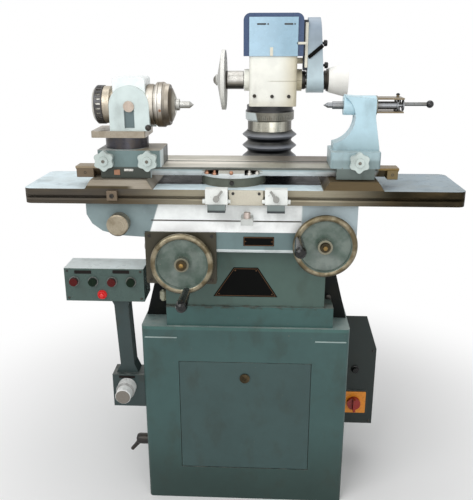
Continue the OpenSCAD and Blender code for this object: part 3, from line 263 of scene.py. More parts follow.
class Finish(Board):
    """A material, with the places and masks that finishes share."""

    def __init__(self, name, soft_edge=1.2):
        self.made = bpy.data.materials.new(name)
        self.made.use_nodes = True
        super().__init__(self.made.node_tree)
        coordinates = self.add("TexCoord", output="Object")
        self.spot = self.add("VectorMath", {"operation": "SCALE"}, {0: coordinates, "Scale": 1 / MM})
        self.x, self.y, self.z = (self.add("SeparateXYZ", (), {0: self.spot}, axis) for axis in "XYZ")
        self.facing = self.add("TexCoord", output="Normal")
        self.rounded = self.add("Bevel", {"samples": 4}, {"Radius": soft_edge * MM})

    def ease(self, value, low, high):
        """0 below low and 1 above high, or the other way round, with a soft step between."""
        return self.add("MapRange", {"interpolation_type": "SMOOTHSTEP"}, {0: value, 1: low, 2: high})

    def within(self, value, low, high, soft=1.0):
        return self.ease(value, low - soft, low + soft) * self.ease(value, high + soft, high - soft)

    def noise(self, size, low=0.3, high=0.7, detail=3.0, stretch=(1, 1, 1), spot=None):
        """Clouds about `size` mm wide, longer by `stretch` along an axis."""
        pace = tuple(1 / (size * s) for s in stretch)
        place = self.add("VectorMath", {"operation": "MULTIPLY"}, {0: spot or self.spot, 1: pace})
        cloud = self.add("TexNoise", (), {"Vector": place, "Scale": 1.0, "Detail": detail, "Roughness": 0.55})
        return self.ease(cloud, low, high)

    def towards(self, axis, low=0.5, high=0.8):
        """1 where the surface faces along an axis of the piece."""
        dot = self.add("VectorMath", {"operation": "DOT_PRODUCT"}, {0: self.facing, 1: axis}, "Value")
        return self.ease(dot, low, high)

    def up(self, low=0.5, high=0.8):
        return self.towards((0, 0, 1), low, high)

    def mix(self, share, under, over):
        return self.add("Mix", {"data_type": "RGBA"}, {0: share, 6: under, 7: over}, 2)

    def fade(self, value, low, high, under, over):
        """One tone that turns into another while a value runs from low to high."""
        return self.mix(self.ease(value, low, high), under, over)

    def shade(self, tone, amount):
        settings = {"data_type": "RGBA", "blend_type": "MULTIPLY"}
        return self.add("Mix", settings, {0: 1.0, 6: tone, 7: amount}, 2)

    def either(self, first, second):
        """The greater of two masks."""
        return self.add("Math", {"operation": "MAXIMUM"}, {0: first, 1: second})

    def edges(self):
        """1 along the outer and inner edges, where the rounded normal leaves the flat one."""
        flat = self.add("NewGeometry", output="Normal")
        bent = self.add("VectorMath", {"operation": "DOT_PRODUCT"}, {0: self.rounded, 1: flat}, "Value")
        return self.ease(bent, 0.985, 0.86)

    def radius(self, axis, across):
        """Distance from a shaft along an axis, which runs through two places across it."""
        first, second = across
        centre = {"x": (0, first, second), "y": (first, 0, second), "z": (first, second, 0)}[axis]
        keep = {"x": (0, 1, 1), "y": (1, 0, 1), "z": (1, 1, 0)}[axis]
        arm = self.add("VectorMath", {"operation": "SUBTRACT"}, {0: self.spot, 1: centre})
        arm = self.add("VectorMath", {"operation": "MULTIPLY"}, {0: arm, 1: keep})
        return self.add("VectorMath", {"operation": "LENGTH"}, {0: arm}, "Value")

    def cover(self, mask, under, over):
        """One layer over another where the mask is 1."""

        def between(low, high):
            if not isinstance(low, Flow) and not isinstance(high, Flow) and low == high:
                return low
            return low + mask * (high - low)

        return Layer(
            self.mix(mask, under.tone, over.tone),
            between(under.rough, over.rough),
            between(under.metal, over.metal),
            between(under.height, over.height),
        )

    def close(self, layer, **sockets):
        """Ends the tree in one Principled surface. Values that are the same all over are set on it."""
        bump = {"Distance": MM, "Normal": self.rounded, "Height": layer.height}
        skin = {
            "Base Color": layer.tone,
            "Roughness": layer.rough,
            "Metallic": layer.metal,
            "Normal": self.add("Bump", (), bump),
        }
        skin.update({name.replace("_", " "): value for name, value in sockets.items()})
        self.add("OutputMaterial", (), {"Surface": self.add("BsdfPrincipled", (), skin)})
        return self


def finished(name, skin_of, soft_edge=0.6, **sockets):
    """A whole finish, from a rule that lays its layers."""
    f = Finish(name, soft_edge)
    return f.close(skin_of(f), **sockets)


print("layers carry:", ", ".join(Layer(tint(0, 0, 0)).__dict__))

# %% [markdown]
# ## Enamel
# Machine enamel is thick, brushed or sprayed over filled iron. Its tone drifts over a casting, hands and
# oil darken it in clouds, dust settles on what faces up, and edges rub through to the iron.
# An image of old paint would do this once. Noise at four scales does it on every casting without a seam.

# %% Enamel
IRON = tint(112, 108, 98)
GRIME = tint(50, 48, 38)
DUST = tint(188, 190, 182)
PAINT_MIRROR = 0.36


def enamel(f, shade, gloss=0.36, rub=0.7, dust=0.35, grime=0.28, chipped=1.0):
    drift = f.noise(230, 0.34, 0.66, 2)
    mottle = f.noise(24, 0.35, 0.65, 4)
    peel = f.noise(2.2, 0.3, 0.7, 2)
    stains = f.noise(62, 0.50, 0.74, 5, (1, 1, 1.6))
    tone = f.shade(shade, 0.90 + drift * 0.11 + mottle * 0.06)
    tone = f.mix(stains * grime, tone, GRIME)
    paint = Layer(tone, gloss + mottle * 0.09 + stains * 0.14, 0.0, peel * 0.025 + mottle * 0.07)
    settled = f.up(0.6, 0.95) * f.noise(36, 0.30, 0.75, 4) * dust
    paint = f.cover(settled, paint, Layer(DUST, 0.75, 0.0, 0.06))
    worn = f.edges() * f.noise(6, 0.40, 0.64, 4) * rub
    chips = f.noise(7, 0.705, 0.72, 4) * f.noise(140, 0.50, 0.62, 2) * chipped
    return f.cover(f.either(worn, chips), paint, Layer(IRON, 0.46, 0.45, -0.10))


def painted(name, shade, mirror=PAINT_MIRROR, **kind):
    """A whole finish of enamel. The shade is a colour, or a rule that finds it from the place."""
    f = Finish(name)
    return f.close(enamel(f, shade(f) if callable(shade) else shade, **kind), Specular_IOR_Level=mirror)


FINISHED = []


def dress(finish, *nodes):
    """Gives solids of the frame their finish."""
    for node in nodes:
        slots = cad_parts[node].data.materials
        slots.clear()
        slots.append(finish.made)
        FINISHED.append(node)


def cabinet_shade(f):
    # Darker towards the bottom. The band along the top edge and the deck that faces up are lighter: painted
    # highlights.
    tone = f.fade(f.z, 330, 20, tint(58, 85, 83), tint(44, 63, 59))
    tone = f.fade(f.z, 588, 592, tone, tint(66, 100, 95))
    return f.mix(f.up(0.7, 0.9) * f.ease(f.z, 590, 598), tone, tint(134, 156, 153))


def apron_shade(f):
    tone = f.fade(f.z, 661, 663, tint(57, 88, 85), tint(70, 91, 84))
    tone = f.mix(f.within(f.z, 656, 666, 3) * f.noise(16, 0.45, 0.6, 4, (2, 1, 1)) * 0.8, tone, GRIME)
    # Painted shade: the face turns darker just under the saddle.
    return f.mix(f.ease(f.z, 800, 846) * 0.5, tone, tint(52, 66, 62))


def pedestal_shade(f):
    # Painted shade: the sides are near black towards the front, where they lie in shadow.
    return f.fade(f.y, -200, 40, tint(12, 17, 16), tint(38, 56, 54))


def pendant_shade(f):
    # Painted sheen: the faces that look up are near white.
    return f.mix(f.up(0.7, 0.9), tint(68, 87, 82), tint(236, 247, 247))


def saddle_shade(f):
    # Painted highlight: the lower bevel is near white.
    return f.fade(f.z, 858, 855, tint(104, 125, 126), tint(222, 230, 230))


dress(painted("cabinet_paint", cabinet_shade, gloss=0.40), "base_cabinet")
dress(painted("door_paint", tint(56, 77, 76), gloss=0.38), "cabinet_door")
dress(painted("apron_paint", apron_shade, gloss=0.38), "apron")
dress(painted("pedestal_paint", pedestal_shade, mirror=0.15, gloss=0.45, dust=0.2), "pedestal")
dress(painted("box_paint", tint(33, 42, 40), gloss=0.42), "electrical_box")
dress(painted("pendant_paint", pendant_shade, gloss=0.24, dust=0.2), "pendant_box")
dress(painted("post_paint", tint(48, 62, 62), gloss=0.36, grime=0.6), "pendant_post")
dress(painted("saddle_paint", saddle_shade, gloss=0.32), "saddle")
dress(painted("gearbox_paint", tint(58, 54, 40), gloss=0.36, grime=0.5), "feed_gearbox")
dress(painted("motor_paint", tint(40, 48, 54)), "motor")
print("painted so far:", len(FINISHED))

# %% [markdown]
# ## Two-tone castings
# Some castings carry more than one tone: the bed is lighter between its two wings, near white there as a
# painted sheen, the motor cover has a sky-blue front on a navy shell, and the cream wheelhead turns darker
# and warmer to the right and below.
# The castings could be cut apart for this. A mask by place keeps each one whole.

# %% Bed, cover, wheelhead and heads


def bed_shade(f):
    """Lighter between a slanted left wing and a right one, near white as a painted sheen, with a groove along
    it painted dark as shade, and that dark line carried across a lug in front.
    """
    slant = f.x + (f.z - 903) * -0.33
    bright = f.ease(slant, -258, -254) * f.ease(f.x, 156, 150)
    wing = f.fade(f.x, 150, 156, tint(128, 145, 147), tint(166, 181, 186))
    # Painted sheen: the band is near white.
    band = f.fade(f.z, 930, 937, tint(252, 254, 253), tint(244, 248, 247))
    # Painted shade: a dark band wider than the groove, the groove itself near black, and its line across the
    # lug.
    band = f.mix(f.within(f.z, 934.6, 938.4, 1.6) * 0.6, band, tint(112, 100, 92))
    lug = f.ease(f.y, -351, -353)
    band = f.mix(lug, band, f.mix(f.within(f.z, 934.4, 938.2, 0.4), tint(190, 193, 190), tint(74, 66, 56)))
    groove = f.within(f.z, 935, 938, 0.4) * f.ease(f.y, -349.4, -348.6)
    return f.mix(groove, f.mix(bright, wing, band), tint(58, 52, 42))


def cover_shade(f):
    front = f.fade(f.x, 20, 130, tint(177, 208, 227), tint(155, 188, 207))
    return f.fade(f.y, -62.6, -63.4, tint(56, 77, 112), front)


def cream_shade(f):
    # Darker and warmer to the right and towards the bottom.
    tone = f.fade(f.x, 80, 150, tint(250, 250, 241), tint(208, 199, 172))
    tone = f.mix(f.within(f.z, 1281.4, 1283.0, 0.3) * f.ease(f.x, 50, 70) * 0.7, tone, tint(138, 126, 92))
    return f.mix(f.ease(f.z, 1236, 1212) * 0.35, tone, tint(204, 196, 170))


def guard_shade(f):
    return f.fade(f.z, 1290, 1430, tint(196, 215, 222), tint(148, 162, 175))


def workhead_base_shade(f):
    top = f.fade(f.x, -310, -270, tint(182, 184, 182), tint(150, 138, 118))
    face = f.fade(f.z, 1083, 1079, tint(108, 128, 128), tint(62, 68, 62))
    # Painted highlight: faces that look to the right are near white in front and dark behind.
    side = f.fade(f.y, -318, -300, tint(206, 218, 220), tint(58, 66, 66))
    face = f.mix(f.towards((1, 0, 0), 0.6, 0.9), face, side)
    return f.mix(f.up(), face, top)


def yoke_shade(f):
    deep = f.ease(f.y, -338, -337) * f.ease(f.y, -334, -335)
    # Painted shade: the inside of the slot is darker.
    slot = deep * f.within(f.x, -311, -285, 0.5) * f.ease(f.z, 1233, 1229)
    return f.mix(slot, tint(206, 219, 217), tint(104, 120, 122))


def tailstock_shade(f):
    # Darker towards the bottom.
    tone = f.fade(f.z, 1090, 1190, tint(150, 171, 175), tint(180, 210, 221))
    tone = f.mix(f.within(f.z, 1081, 1102, 4) * f.towards((0, -1, 0)), tone, tint(128, 147, 149))
    tone = f.fade(f.z, 1083, 1078, tone, tint(92, 104, 100))
    # Painted shade: faces that look to the right turn darker blue.
    return f.mix(f.towards((1, 0, 0), 0.5, 0.9) * 0.7, tone, tint(60, 78, 92))


def dog_shade(f):
    raised = f.ease(f.z, 992.8, 993.4)
    tone = f.mix(raised, tint(118, 129, 127), tint(230, 233, 229))
    tone = f.mix(f.ease(f.y, -395.5, -396) * raised, tone, tint(150, 150, 145))
    # Painted shade: the foot of each dog turns near black.
    return f.fade(f.z, 981, 976, tone, tint(46, 52, 54))


dress(painted("bed_paint", bed_shade, gloss=0.30, grime=0.22), "table_bed")
dress(painted("cover_paint", cover_shade, gloss=0.22, grime=0.10, rub=0.4, dust=0.12), "motor_cover")
dress(painted("cream_paint", cream_shade, gloss=0.30, grime=0.16, rub=0.5), "wheelhead_housing")
dress(painted("guard_paint", guard_shade, gloss=0.28, grime=0.14), "belt_guard")
dress(painted("yoke_paint", yoke_shade, gloss=0.28, grime=0.22), "workhead_yoke")
dress(painted("dog_paint", dog_shade, gloss=0.35, grime=0.5), "left_stop_dog", "right_stop_dog")
dress(
    painted("star_paint", tint(190, 202, 198), gloss=0.24, grime=0.3, rub=0.9),
    "left_star_knob", "right_star_knob", "tailstock_knob",
)
print("painted so far:", len(FINISHED))

# %% [markdown]
# ## Steel
# Ground ways show long scratches along the travel, turned parts show rings about their axis, and both keep
# a film of oil that browns in clouds. Anisotropic reflection could stand for the scratches.
# Stretched noise is used instead, because it gives roughness and height that survive an export.

# %% Steel
STAIN, BRIGHT = tint(98, 84, 60), tint(198, 196, 190)


def ground(f, shade, run=(60, 1, 1), stain=0.40, metal=0.75):
    """Steel ground along its travel."""
    scratch = f.noise(1.1, 0.30, 0.70, 3, run)
    cloud = f.noise(55, 0.36, 0.70, 4, (2.2, 1, 1))
    spots = f.noise(4, 0.62, 0.74, 3)
    tone = f.shade(shade, 0.84 + scratch * 0.20 + cloud * 0.06)
    tone = f.mix(cloud * stain + spots * 0.18, tone, STAIN)
    return Layer(tone, 0.30 + scratch * 0.12 + cloud * 0.12, metal, scratch * 0.02)


def turned(f, shade, radius, along, stain=0.25, metal=0.85, streak=0.0, oily=0.0):
    """Steel turned about a shaft, with rings by its radius and along it. Oil runs down it in streaks, and
    faces that look down are darker: a painted shade.
    """
    ring = f.add("CombineXYZ", (), {0: radius, 1: along})
    scratch = f.noise(0.8, 0.30, 0.70, 2, (1, 1, 1), ring)
    cloud = f.noise(22, 0.38, 0.70, 4)
    tone = f.shade(shade, 0.86 + scratch * 0.18)
    tone = f.mix(cloud * stain, tone, STAIN)
    if streak:
        tone = f.mix(f.noise(26, 0.46, 0.60, 2, (1, 1, 9)) * streak, tone, tint(58, 54, 44))
    if oily:
        tone = f.mix(f.towards((0, 0, -1), -0.15, 0.85) * oily, tone, tint(44, 38, 30))
    return Layer(tone, 0.24 + scratch * 0.12 + cloud * 0.14, metal, scratch * 0.02)


def turned_steel(name, axis, across, shade, **kind):
    def laid(f):
        along = {"x": f.x, "y": f.y, "z": f.z}[axis]
        return turned(f, shade, f.radius(axis, across), along, **kind)

    return finished(name, laid)


print("bright steel:", [round(c, 3) for c in BRIGHT])

# %% [markdown]
# ## Column, heads and shafts
# Shafts, screws and pulleys are steel all over. The workhead and the tailstock are enamelled, with turned
# steel where they were machined. Each finish could be wired on its own. A table of shafts makes the plain
# ones in one loop, and each casting that is part paint and part steel has a rule of its own.

# %% Column, heads and shafts


def column_skin(f):
    """Steel that is lighter where it faces the tables: a painted highlight."""
    tone = f.mix(f.towards((0, -1, 0), 0.5, 0.95), tint(92, 91, 85), tint(226, 224, 210))
    return turned(f, tone, f.radius("z", COLUMN_AXIS), f.z, metal=0.8, streak=0.4)


def workhead_skin(f):
    """White enamel, with a turned steel barrel behind the yoke and steel trunnion ends."""
    round_work = f.radius("x", WORK_AXIS)
    paint = enamel(f, tint(240, 246, 246), gloss=0.22, grime=0.10)
    barrel = turned(f, tint(196, 186, 168), round_work, f.x, metal=0.6, oily=0.5)
    pin = turned(f, tint(206, 190, 176), f.radius("y", TILT_AXIS), f.y, metal=0.4)
    # Painted shade: the neck by the nose is dark brown, standing for the dark gap between the yoke and the
    # nose.
    neck = turned(f, tint(92, 82, 68), round_work, f.x, metal=0.5)
    body = f.cover(f.ease(f.x, -256.8, -256.4), paint, neck)
    body = f.cover(f.ease(f.x, -343, -345), body, barrel)
    return f.cover(f.ease(f.y, -340.1, -340.4), body, pin)


def workhead_base_skin(f):
    """Aged enamel on the foot, and a dark turned drum above it."""
    drum = turned(f, tint(70, 69, 74), f.radius("z", HEAD_AXIS), f.z, metal=0.8)
    return f.cover(f.ease(f.z, 1124.5, 1125.5), enamel(f, workhead_base_shade(f), gloss=0.34), drum)


def tailstock_skin(f):
    """Pale enamel, worn to brown steel round the ears that hold the lever."""
    paint = enamel(f, tailstock_shade(f), gloss=0.28)
    ears = ground(f, tint(122, 110, 90), (1, 1, 1), 0.5, 0.65)
    return f.cover(f.ease(f.x, 334, 340) * f.ease(f.z, 1198, 1206), paint, ears)


def rack_skin(f):
    return ground(f, BRIGHT)


spindle_steel = turned_steel("spindle_steel", "x", SPINDLE_AXIS, BRIGHT, oily=0.8)
dress(spindle_steel, "grinding_spindle", "spindle_bearings", "spindle_pulley")
knob_look = {"metal": 0.9, "stain": 0.6, "oily": 0.7}
plate_look = {"stain": 0.35, "metal": 0.5}
# Each turned node by its finish, the axis and place of its shaft, its tone, and how it differs from the rest.
TURNED = {
    "elevating_screw": ("screw_steel", "z", COLUMN_AXIS, tint(150, 148, 142), {}),
    "motor_pulley": ("motor_pulley_steel", "x", MOTOR_AXIS, BRIGHT, {}),
    "cross_screw": ("cross_screw_steel", "y", CROSS_AXIS, tint(70, 60, 42), {}),
    "traverse_pinion": ("pinion_steel", "y", PINION_AXIS, BRIGHT, {}),
    "table_lock_knob": ("lock_knob_steel", "y", LOCK_AXIS, tint(172, 162, 142), knob_look),
    "stop_plunger": ("plunger_steel", "z", PLUNGER_AXIS, tint(206, 192, 184), {"stain": 0.15}),
    "tailstock_quill": ("quill_steel", "x", WORK_AXIS, tint(140, 143, 146), {"oily": 0.6}),
    "yoke_plate": ("plate_steel", "z", HEAD_AXIS, tint(166, 156, 140), plate_look),
    "work_centre": ("centre_steel", "x", WORK_AXIS, tint(190, 190, 186), {"oily": 0.5}),
    "door_lock": ("lock_brass", "y", DOOR_LOCK_AXIS, tint(54, 46, 31), {"stain": 0.6}),
}
for node, (name, axis, across, shade, look) in TURNED.items():
    dress(turned_steel(name, axis, across, shade, **look), node)
HEAD_SKINS = {
    "workhead_base": workhead_base_skin,
    "workhead_housing": workhead_skin,
    "tailstock": tailstock_skin,
}
for node, skin_of in HEAD_SKINS.items():
    dress(finished(node + "_skin", skin_of, 1.2, Specular_IOR_Level=PAINT_MIRROR), node)
dress(finished("column_steel", column_skin), "column")
dress(finished("rack_steel", rack_skin, 0.4), "table_rack")
print("dressed so far:", len(FINISHED))

# %% [markdown]
# ## Tables
# The lower table is enamelled on top and bare on its oiled front, where the trip slot runs. The swivel table
# is the other way round: a bare, streaked top with a bright band along its middle, a painted highlight, over
# painted sides and a painted swivel flange, both lightened against their shade as painted light. They could
# be split into faces with a material each.
# Masks by place and by the way a face looks keep each table whole.

# %% Tables


def lower_table_skin(f):
    """Enamel on top, painted near black as the shadow under the swivel table, and oiled steel on the front
    and the pads, with a painted highlight along the slot's lower lip.
    """
    tone = f.fade(f.x, 240, 390, tint(222, 238, 244), tint(152, 167, 176))
    # Painted shadow: the top is near black where the swivel table overhangs it.
    shadow_under_table = f.ease(f.y, -304, -296) * f.within(f.x, -300, 240, 20)
    tone = f.mix(shadow_under_table, tone, tint(9, 13, 14))
    boss = f.ease(f.radius("z", SWIVEL_AXIS), 90, 88.5)
    tone = f.mix(boss, tone, tint(106, 110, 100))
    paint = enamel(f, tone, gloss=0.24, dust=(1 - shadow_under_table) * 0.25, chipped=0.25)
    steel_tone = f.fade(f.x, -330, -140, tint(80, 75, 68), tint(150, 144, 126))
    steel_tone = f.fade(f.x, 170, 400, steel_tone, tint(38, 34, 24))
    steel_tone = f.mix(f.ease(f.z, 1000, 996) * 0.25, steel_tone, tint(60, 54, 46))
    # Painted highlight: a light line along the lower lip of the slot.
    lip = f.within(f.z, 996, 998.5, 0.6) * f.noise(40, 0.40, 0.60, 3, (4, 1, 1))
    steel_tone = f.mix(lip * 0.6, steel_tone, f.shade(steel_tone, (2.2, 2.2, 2.2, 1)))
    pad_foot = f.ease(f.z, 1036, 1032) * f.ease(f.x, -285, -310)
    left_pad = f.mix(pad_foot, tint(164, 156, 142), tint(84, 76, 60))
    pad_tone = f.fade(f.x, -100, 100, left_pad, tint(92, 80, 60))
    steel_tone = f.fade(f.z, 1026.2, 1027.2, steel_tone, pad_tone)
    steel = ground(f, steel_tone, metal=0.35)
    pads = f.within(f.x, -421, -239) + f.within(f.x, 204, 362)
    top = f.up(0.6, 0.8) * f.ease(f.z, 1024.5, 1025.2) * f.ease(f.z, 1027, 1026.3)
    painted_top = f.either(top * (1 - pads), boss * f.ease(f.z, 1025.8, 1026.4))
    return f.cover(painted_top, steel, paint)


def upper_table_skin(f):
    """Streaked steel on top with a painted highlight along its middle, worn at both ends, over painted sides
    lightened against their shade, and a flange with windows painted dark as shadow.
    """
    # Painted highlight: a bright band along the middle of the top, on the left.
    left = f.mix(f.within(f.y, -292, -230, 14), tint(198, 194, 181), tint(240, 234, 221))
    right = f.fade(f.y, -262, -288, tint(118, 111, 103), tint(166, 163, 149))
    tone = f.fade(f.x, -60, 110, left, right)
    worn = f.ease(f.x, 340, 352) + f.ease(f.x, -382, -390)
    tone = f.mix(worn, tone, f.fade(f.x, 0, 100, tint(160, 146, 124), tint(122, 102, 64)))
    steel = ground(f, tone, (90, 1, 1), stain=0.30, metal=0.55)
    reach = f.radius("z", SWIVEL_AXIS)
    flange = f.ease(reach, 114, 112.5) * f.ease(f.z, 1073, 1072.4)
    # Painted light: the undercut slope turns near white towards its foot, and the flange is near white above,
    # against the shade they lie in.
    slope = f.fade(f.z, 1073, 1062, tint(186, 202, 204), tint(253, 255, 255))
    cone = f.fade(f.z, 1066, 1067.6, tint(250, 252, 251), tint(172, 170, 160))
    side = f.mix(flange, slope, cone)
    rim_r = 93 + (f.z - 1049.9) * 0.86
    # Painted shadow: dark windows in the flange's front, where the clamp bolts stand in a shaded recess.
    window = f.ease(reach - rim_r, -2.0, -3.5) * f.within(f.z, 1059.4, 1071.6, 0.3) * flange
    side = f.mix(window, side, tint(34, 30, 26))
    side = f.mix(f.within(f.z, 1073, 1079.6, 0.5) * 0.9, side, tint(84, 84, 76))
    paint = enamel(f, side, gloss=0.30, dust=0.2)
    return f.cover(f.either(f.ease(f.z, 1079.4, 1079.8), worn), paint, steel)


TABLE_SKINS = {"lower_table": (lower_table_skin, 0.02), "upper_table": (upper_table_skin, 0.18)}
for node, (skin_of, mirror) in TABLE_SKINS.items():
    dress(finished(node + "_steel", skin_of, 1.0, Specular_IOR_Level=mirror), node)
print("dressed so far:", len(FINISHED))

# %% [markdown]
# ## Handwheels
# Each handwheel is one casting: a polished rim, a painted dished web and a turned hub.
# They could be three materials on three sets of faces. The distance from the shaft tells them apart
# just as well and leaves the casting's faces alone.

# %% Handwheels
NUT_R, HUB_R, WEB_R = 10.0, 19.6, 71.5


def wheel_skin(f, radius, along):
    """Hub, web and rim, from the shaft outwards."""
    polish = f.noise(34, 0.42, 0.62, 3)
    rim_tone = f.mix(polish, tint(98, 88, 64), tint(150, 141, 118))
    rim = turned(f, rim_tone, radius, along, stain=0.3, metal=0.65, oily=0.65)
    # Painted shade: the hub is dark in a ring round the nut, where it is recessed.
    hub_tone = f.fade(radius, NUT_R + 4, NUT_R + 5, tint(58, 51, 37), tint(132, 129, 112))
    hub = turned(f, hub_tone, radius, along)
    patina = f.noise(44, 0.36, 0.68, 5)
    web = enamel(f, f.mix(patina, tint(72, 90, 80), tint(110, 122, 114)), gloss=0.12, rub=0.4, dust=0.1)
    dished = f.cover(f.ease(radius, WEB_R - 1, WEB_R + 1), web, rim)
    return f.cover(f.ease(radius, HUB_R + 0.8, HUB_R - 0.4), dished, hub)


WHEELS = {
    "cross_handwheel": ("y", CROSS_AXIS),
    "traverse_handwheel": ("y", TRAVERSE_AXIS),
    "elevating_handwheel": ("x", LIFT_AXIS),
}
for node, (axis, across) in WHEELS.items():
    f = Finish(node + "_metal", 0.8)
    dress(f.close(wheel_skin(f, f.radius(axis, across), f.y if axis == "y" else f.x)), node)
print("wheels:", ", ".join(WHEELS))

# %% [markdown]
# ## Stone, rubber, plastic and the rest
# Grinding wheels are pressed grain: matt, faintly speckled, rough under a fingernail.
# Rubber is near black with dust in its folds, and the switchgear is glossy moulded plastic.
# Each gets its own small recipe, because these are the surfaces a hand or an eye goes to.

# %% Stone, rubber and plastic


def stone(name, shade):
    """Pressed grain. The shade is a colour, or a rule that finds it from the place."""
    f = Finish(name, 0.8)
    grain = f.noise(1.3, 0.35, 0.65, 3)
    speck = f.noise(2.6, 0.64, 0.72, 2)
    cloud = f.noise(30, 0.35, 0.7, 3)
    shade = shade(f) if callable(shade) else shade
    tone = f.mix(speck * 0.35, f.shade(shade, 0.93 + grain * 0.06 + cloud * 0.04), tint(160, 156, 146))
    return f.close(Layer(tone, 0.86, 0.0, grain * 0.22))


def rubber(name, shade):
    f = Finish(name, 0.6)
    dusty = f.up(0.1, 0.8) * f.noise(18, 0.32, 0.72, 4)
    tone = f.mix(dusty * 0.55, f.shade(shade, 0.8 + f.noise(9) * 0.4), tint(150, 150, 146))
    return f.close(Layer(tone, 0.52 + dusty * 0.3, 0.0, f.noise(1.4) * 0.05))


def moulded(name, shade, gloss=0.18, grime=0.25, **sockets):
    f = Finish(name, 0.6)
    smear = f.noise(7, 0.45, 0.75, 4)
    tone = f.mix(smear * grime, shade(f) if callable(shade) else shade, GRIME)
    return f.close(Layer(tone, gloss + smear * 0.22, 0.0, f.noise(1.1) * 0.012), **sockets)


def dish_shade(f):
    return f.fade(f.radius("x", SPINDLE_AXIS), 86.5, 87.5, tint(206, 206, 201), tint(238, 238, 232))


def switch_shade(f):
    neck = f.within(f.y, -325, -320, 1.0)
    tone = f.mix(neck * 0.8, tint(240, 241, 239), tint(96, 97, 94))
    return f.fade(f.y, -353, -355.5, tone, tint(116, 110, 102))


def lever_skin(f):
    rod = turned(f, tint(120, 122, 122), f.radius("x", LEVER_AXIS), f.x)
    return f.cover(f.ease(f.x, 474, 476), rod, Layer(tint(26, 26, 27), 0.2))


dress(stone("dish_stone", dish_shade), "dish_wheel")
dress(stone("cup_stone", tint(255, 253, 247)), "cup_wheel")
dress(rubber("belt_rubber", tint(30, 30, 31)), "drive_belt")
black_grip = moulded("black_grip", tint(10, 11, 12), 0.14, Specular_IOR_Level=0.4)
red_cap = moulded("red_cap", tint(76, 4, 3), grime=0.1, Specular_IOR_Level=0.2)
green_cap = moulded("green_cap", tint(2, 26, 9), grime=0.1, Specular_IOR_Level=0.15)
dress(black_grip, "cross_handle", "traverse_handle")
dress(red_cap, "push_button_1", "push_button_3")
dress(green_cap, "push_button_2", "push_button_4")
dress(moulded("red_isolator", tint(150, 32, 22)), "isolator_knob")
dress(moulded("switch_cap", switch_shade), "switch_knob")
lit = {"Emission_Color": tint(226, 50, 50), "Emission_Strength": 0.22}
lens_red = moulded("lamp_lens", tint(190, 30, 32), 0.12, 0.1, **lit)
dress(lens_red, "pilot_lamp")
dress(finished("lever_steel", lever_skin), "tailstock_lever")
print("dressed so far:", len(FINISHED))

# %% [markdown]
# ## Work spindle and graduated collar
# The work spindle is one turned piece with a dark index ring, bright notches and a nose that is pale above
# and dark brown below: a painted reflection.
# The collar under the wheelhead has a line every five degrees and a longer one every ten. The lines could
# be cut as grooves. They are under a millimetre wide, so here they are a mask by the angle round the column.

# %% Spindle nose and collar


def nose_skin(f):
    """A dark index ring behind, and a nose that is pale above and dark brown below, a painted reflection,
    with two dark lines round it.
    """
    radius = f.radius("x", WORK_AXIS)
    steel = turned(f, tint(206, 204, 196), radius, f.x)
    ring = turned(f, tint(74, 74, 76), radius, f.x, metal=0.6)
    index = f.cover(f.ease(radius, 46.5, 47.5), steel, ring)
    lines = f.within(f.x, -225.5, -223.5, 0.4) + f.within(f.x, -214.4, -212.2, 0.4)
    reflection_tone = f.fade(f.z, 1256, 1196, tint(240, 236, 228), tint(92, 80, 63))
    step = f.fade(f.z, 1270, 1200, tint(186, 178, 164), tint(58, 49, 38))
    reflection_tone = f.fade(f.z, 1274, 1292, reflection_tone, tint(150, 141, 128))
    reflection_tone = f.fade(f.x, -213.4, -212.6, reflection_tone, step)
    face = f.fade(radius, 44, 30, tint(74, 66, 55), tint(168, 162, 150))
    reflection_tone = f.fade(f.x, -198, -196.6, reflection_tone, face)
    nose = turned(f, f.mix(lines * 0.8, reflection_tone, tint(54, 48, 40)), radius, f.x, stain=0.3, metal=0.45)
    body = f.cover(f.ease(f.x, -240, -238) * f.ease(radius, 24, 26), steel, nose)
    return f.cover(f.ease(f.x, -369, -371), body, index)


def shroud_skin(f):
    # Pale in the middle, dark brown below and grey above: a painted reflection, as on the nose.
    tone = f.fade(f.z, 1250, 1196, tint(236, 230, 218), tint(76, 64, 49))
    tone = f.fade(f.z, 1262, 1284, tone, tint(132, 122, 108))
    return turned(f, tone, f.radius("x", WORK_AXIS), f.x, stain=0.3, metal=0.45)


def collar_skin(f):
    """A steel band with dark lines, a painted patch on its left and a dark lip above, a painted shade under
    the wheelhead.
    """
    band = turned(f, tint(124, 123, 114), f.radius("z", COLUMN_AXIS), f.z, metal=0.5)
    away = f.x - COLUMN_AXIS[0]
    angle = away.sum("ARCTAN2", f.y, away) * (180 / math.pi)
    small = (angle.sum("PINGPONG", angle, 2.5) < 0.35) * f.within(f.z, 1170, 1178, 0.3)
    tall = (angle.sum("PINGPONG", angle, 5.0) < 0.4) * f.within(f.z, 1170, 1183, 0.3)
    ticks = f.either(small, tall)
    patch = f.ease(f.x + (f.z - 1185) * 0.25, 26, 20) * f.ease(f.z, 1191, 1189)
    band = f.cover(patch, band, Layer(tint(198, 208, 209), 0.3))
    band = f.cover(ticks * (1 - patch), band, Layer(tint(40, 40, 40), 0.6, 0.0, -0.1))
    return f.cover(f.ease(f.z, 1190.5, 1192), band, Layer(tint(34, 34, 36), 0.4, 0.2))


dress(finished("work_spindle_finish", nose_skin), "work_spindle")
dress(finished("graduated_collar_finish", collar_skin), "graduated_collar")
nose_finish = finished("nose_steel", nose_skin)
shroud_steel = finished("shroud_steel", shroud_skin)
print("dressed:", len(FINISHED), "bare:", sorted(set(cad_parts) - set(FINISHED)))

# %% [markdown]
# ## Loops of points
# Plates, screws and knobs all start from a loop: a circle, a hexagon, a rectangle with round corners.
# Blender's own primitives would need cutting and bevelling afterwards. A loop can be drawn again a little
# smaller and higher. The points are laid flat and then stood against a face of the machine by a matrix.

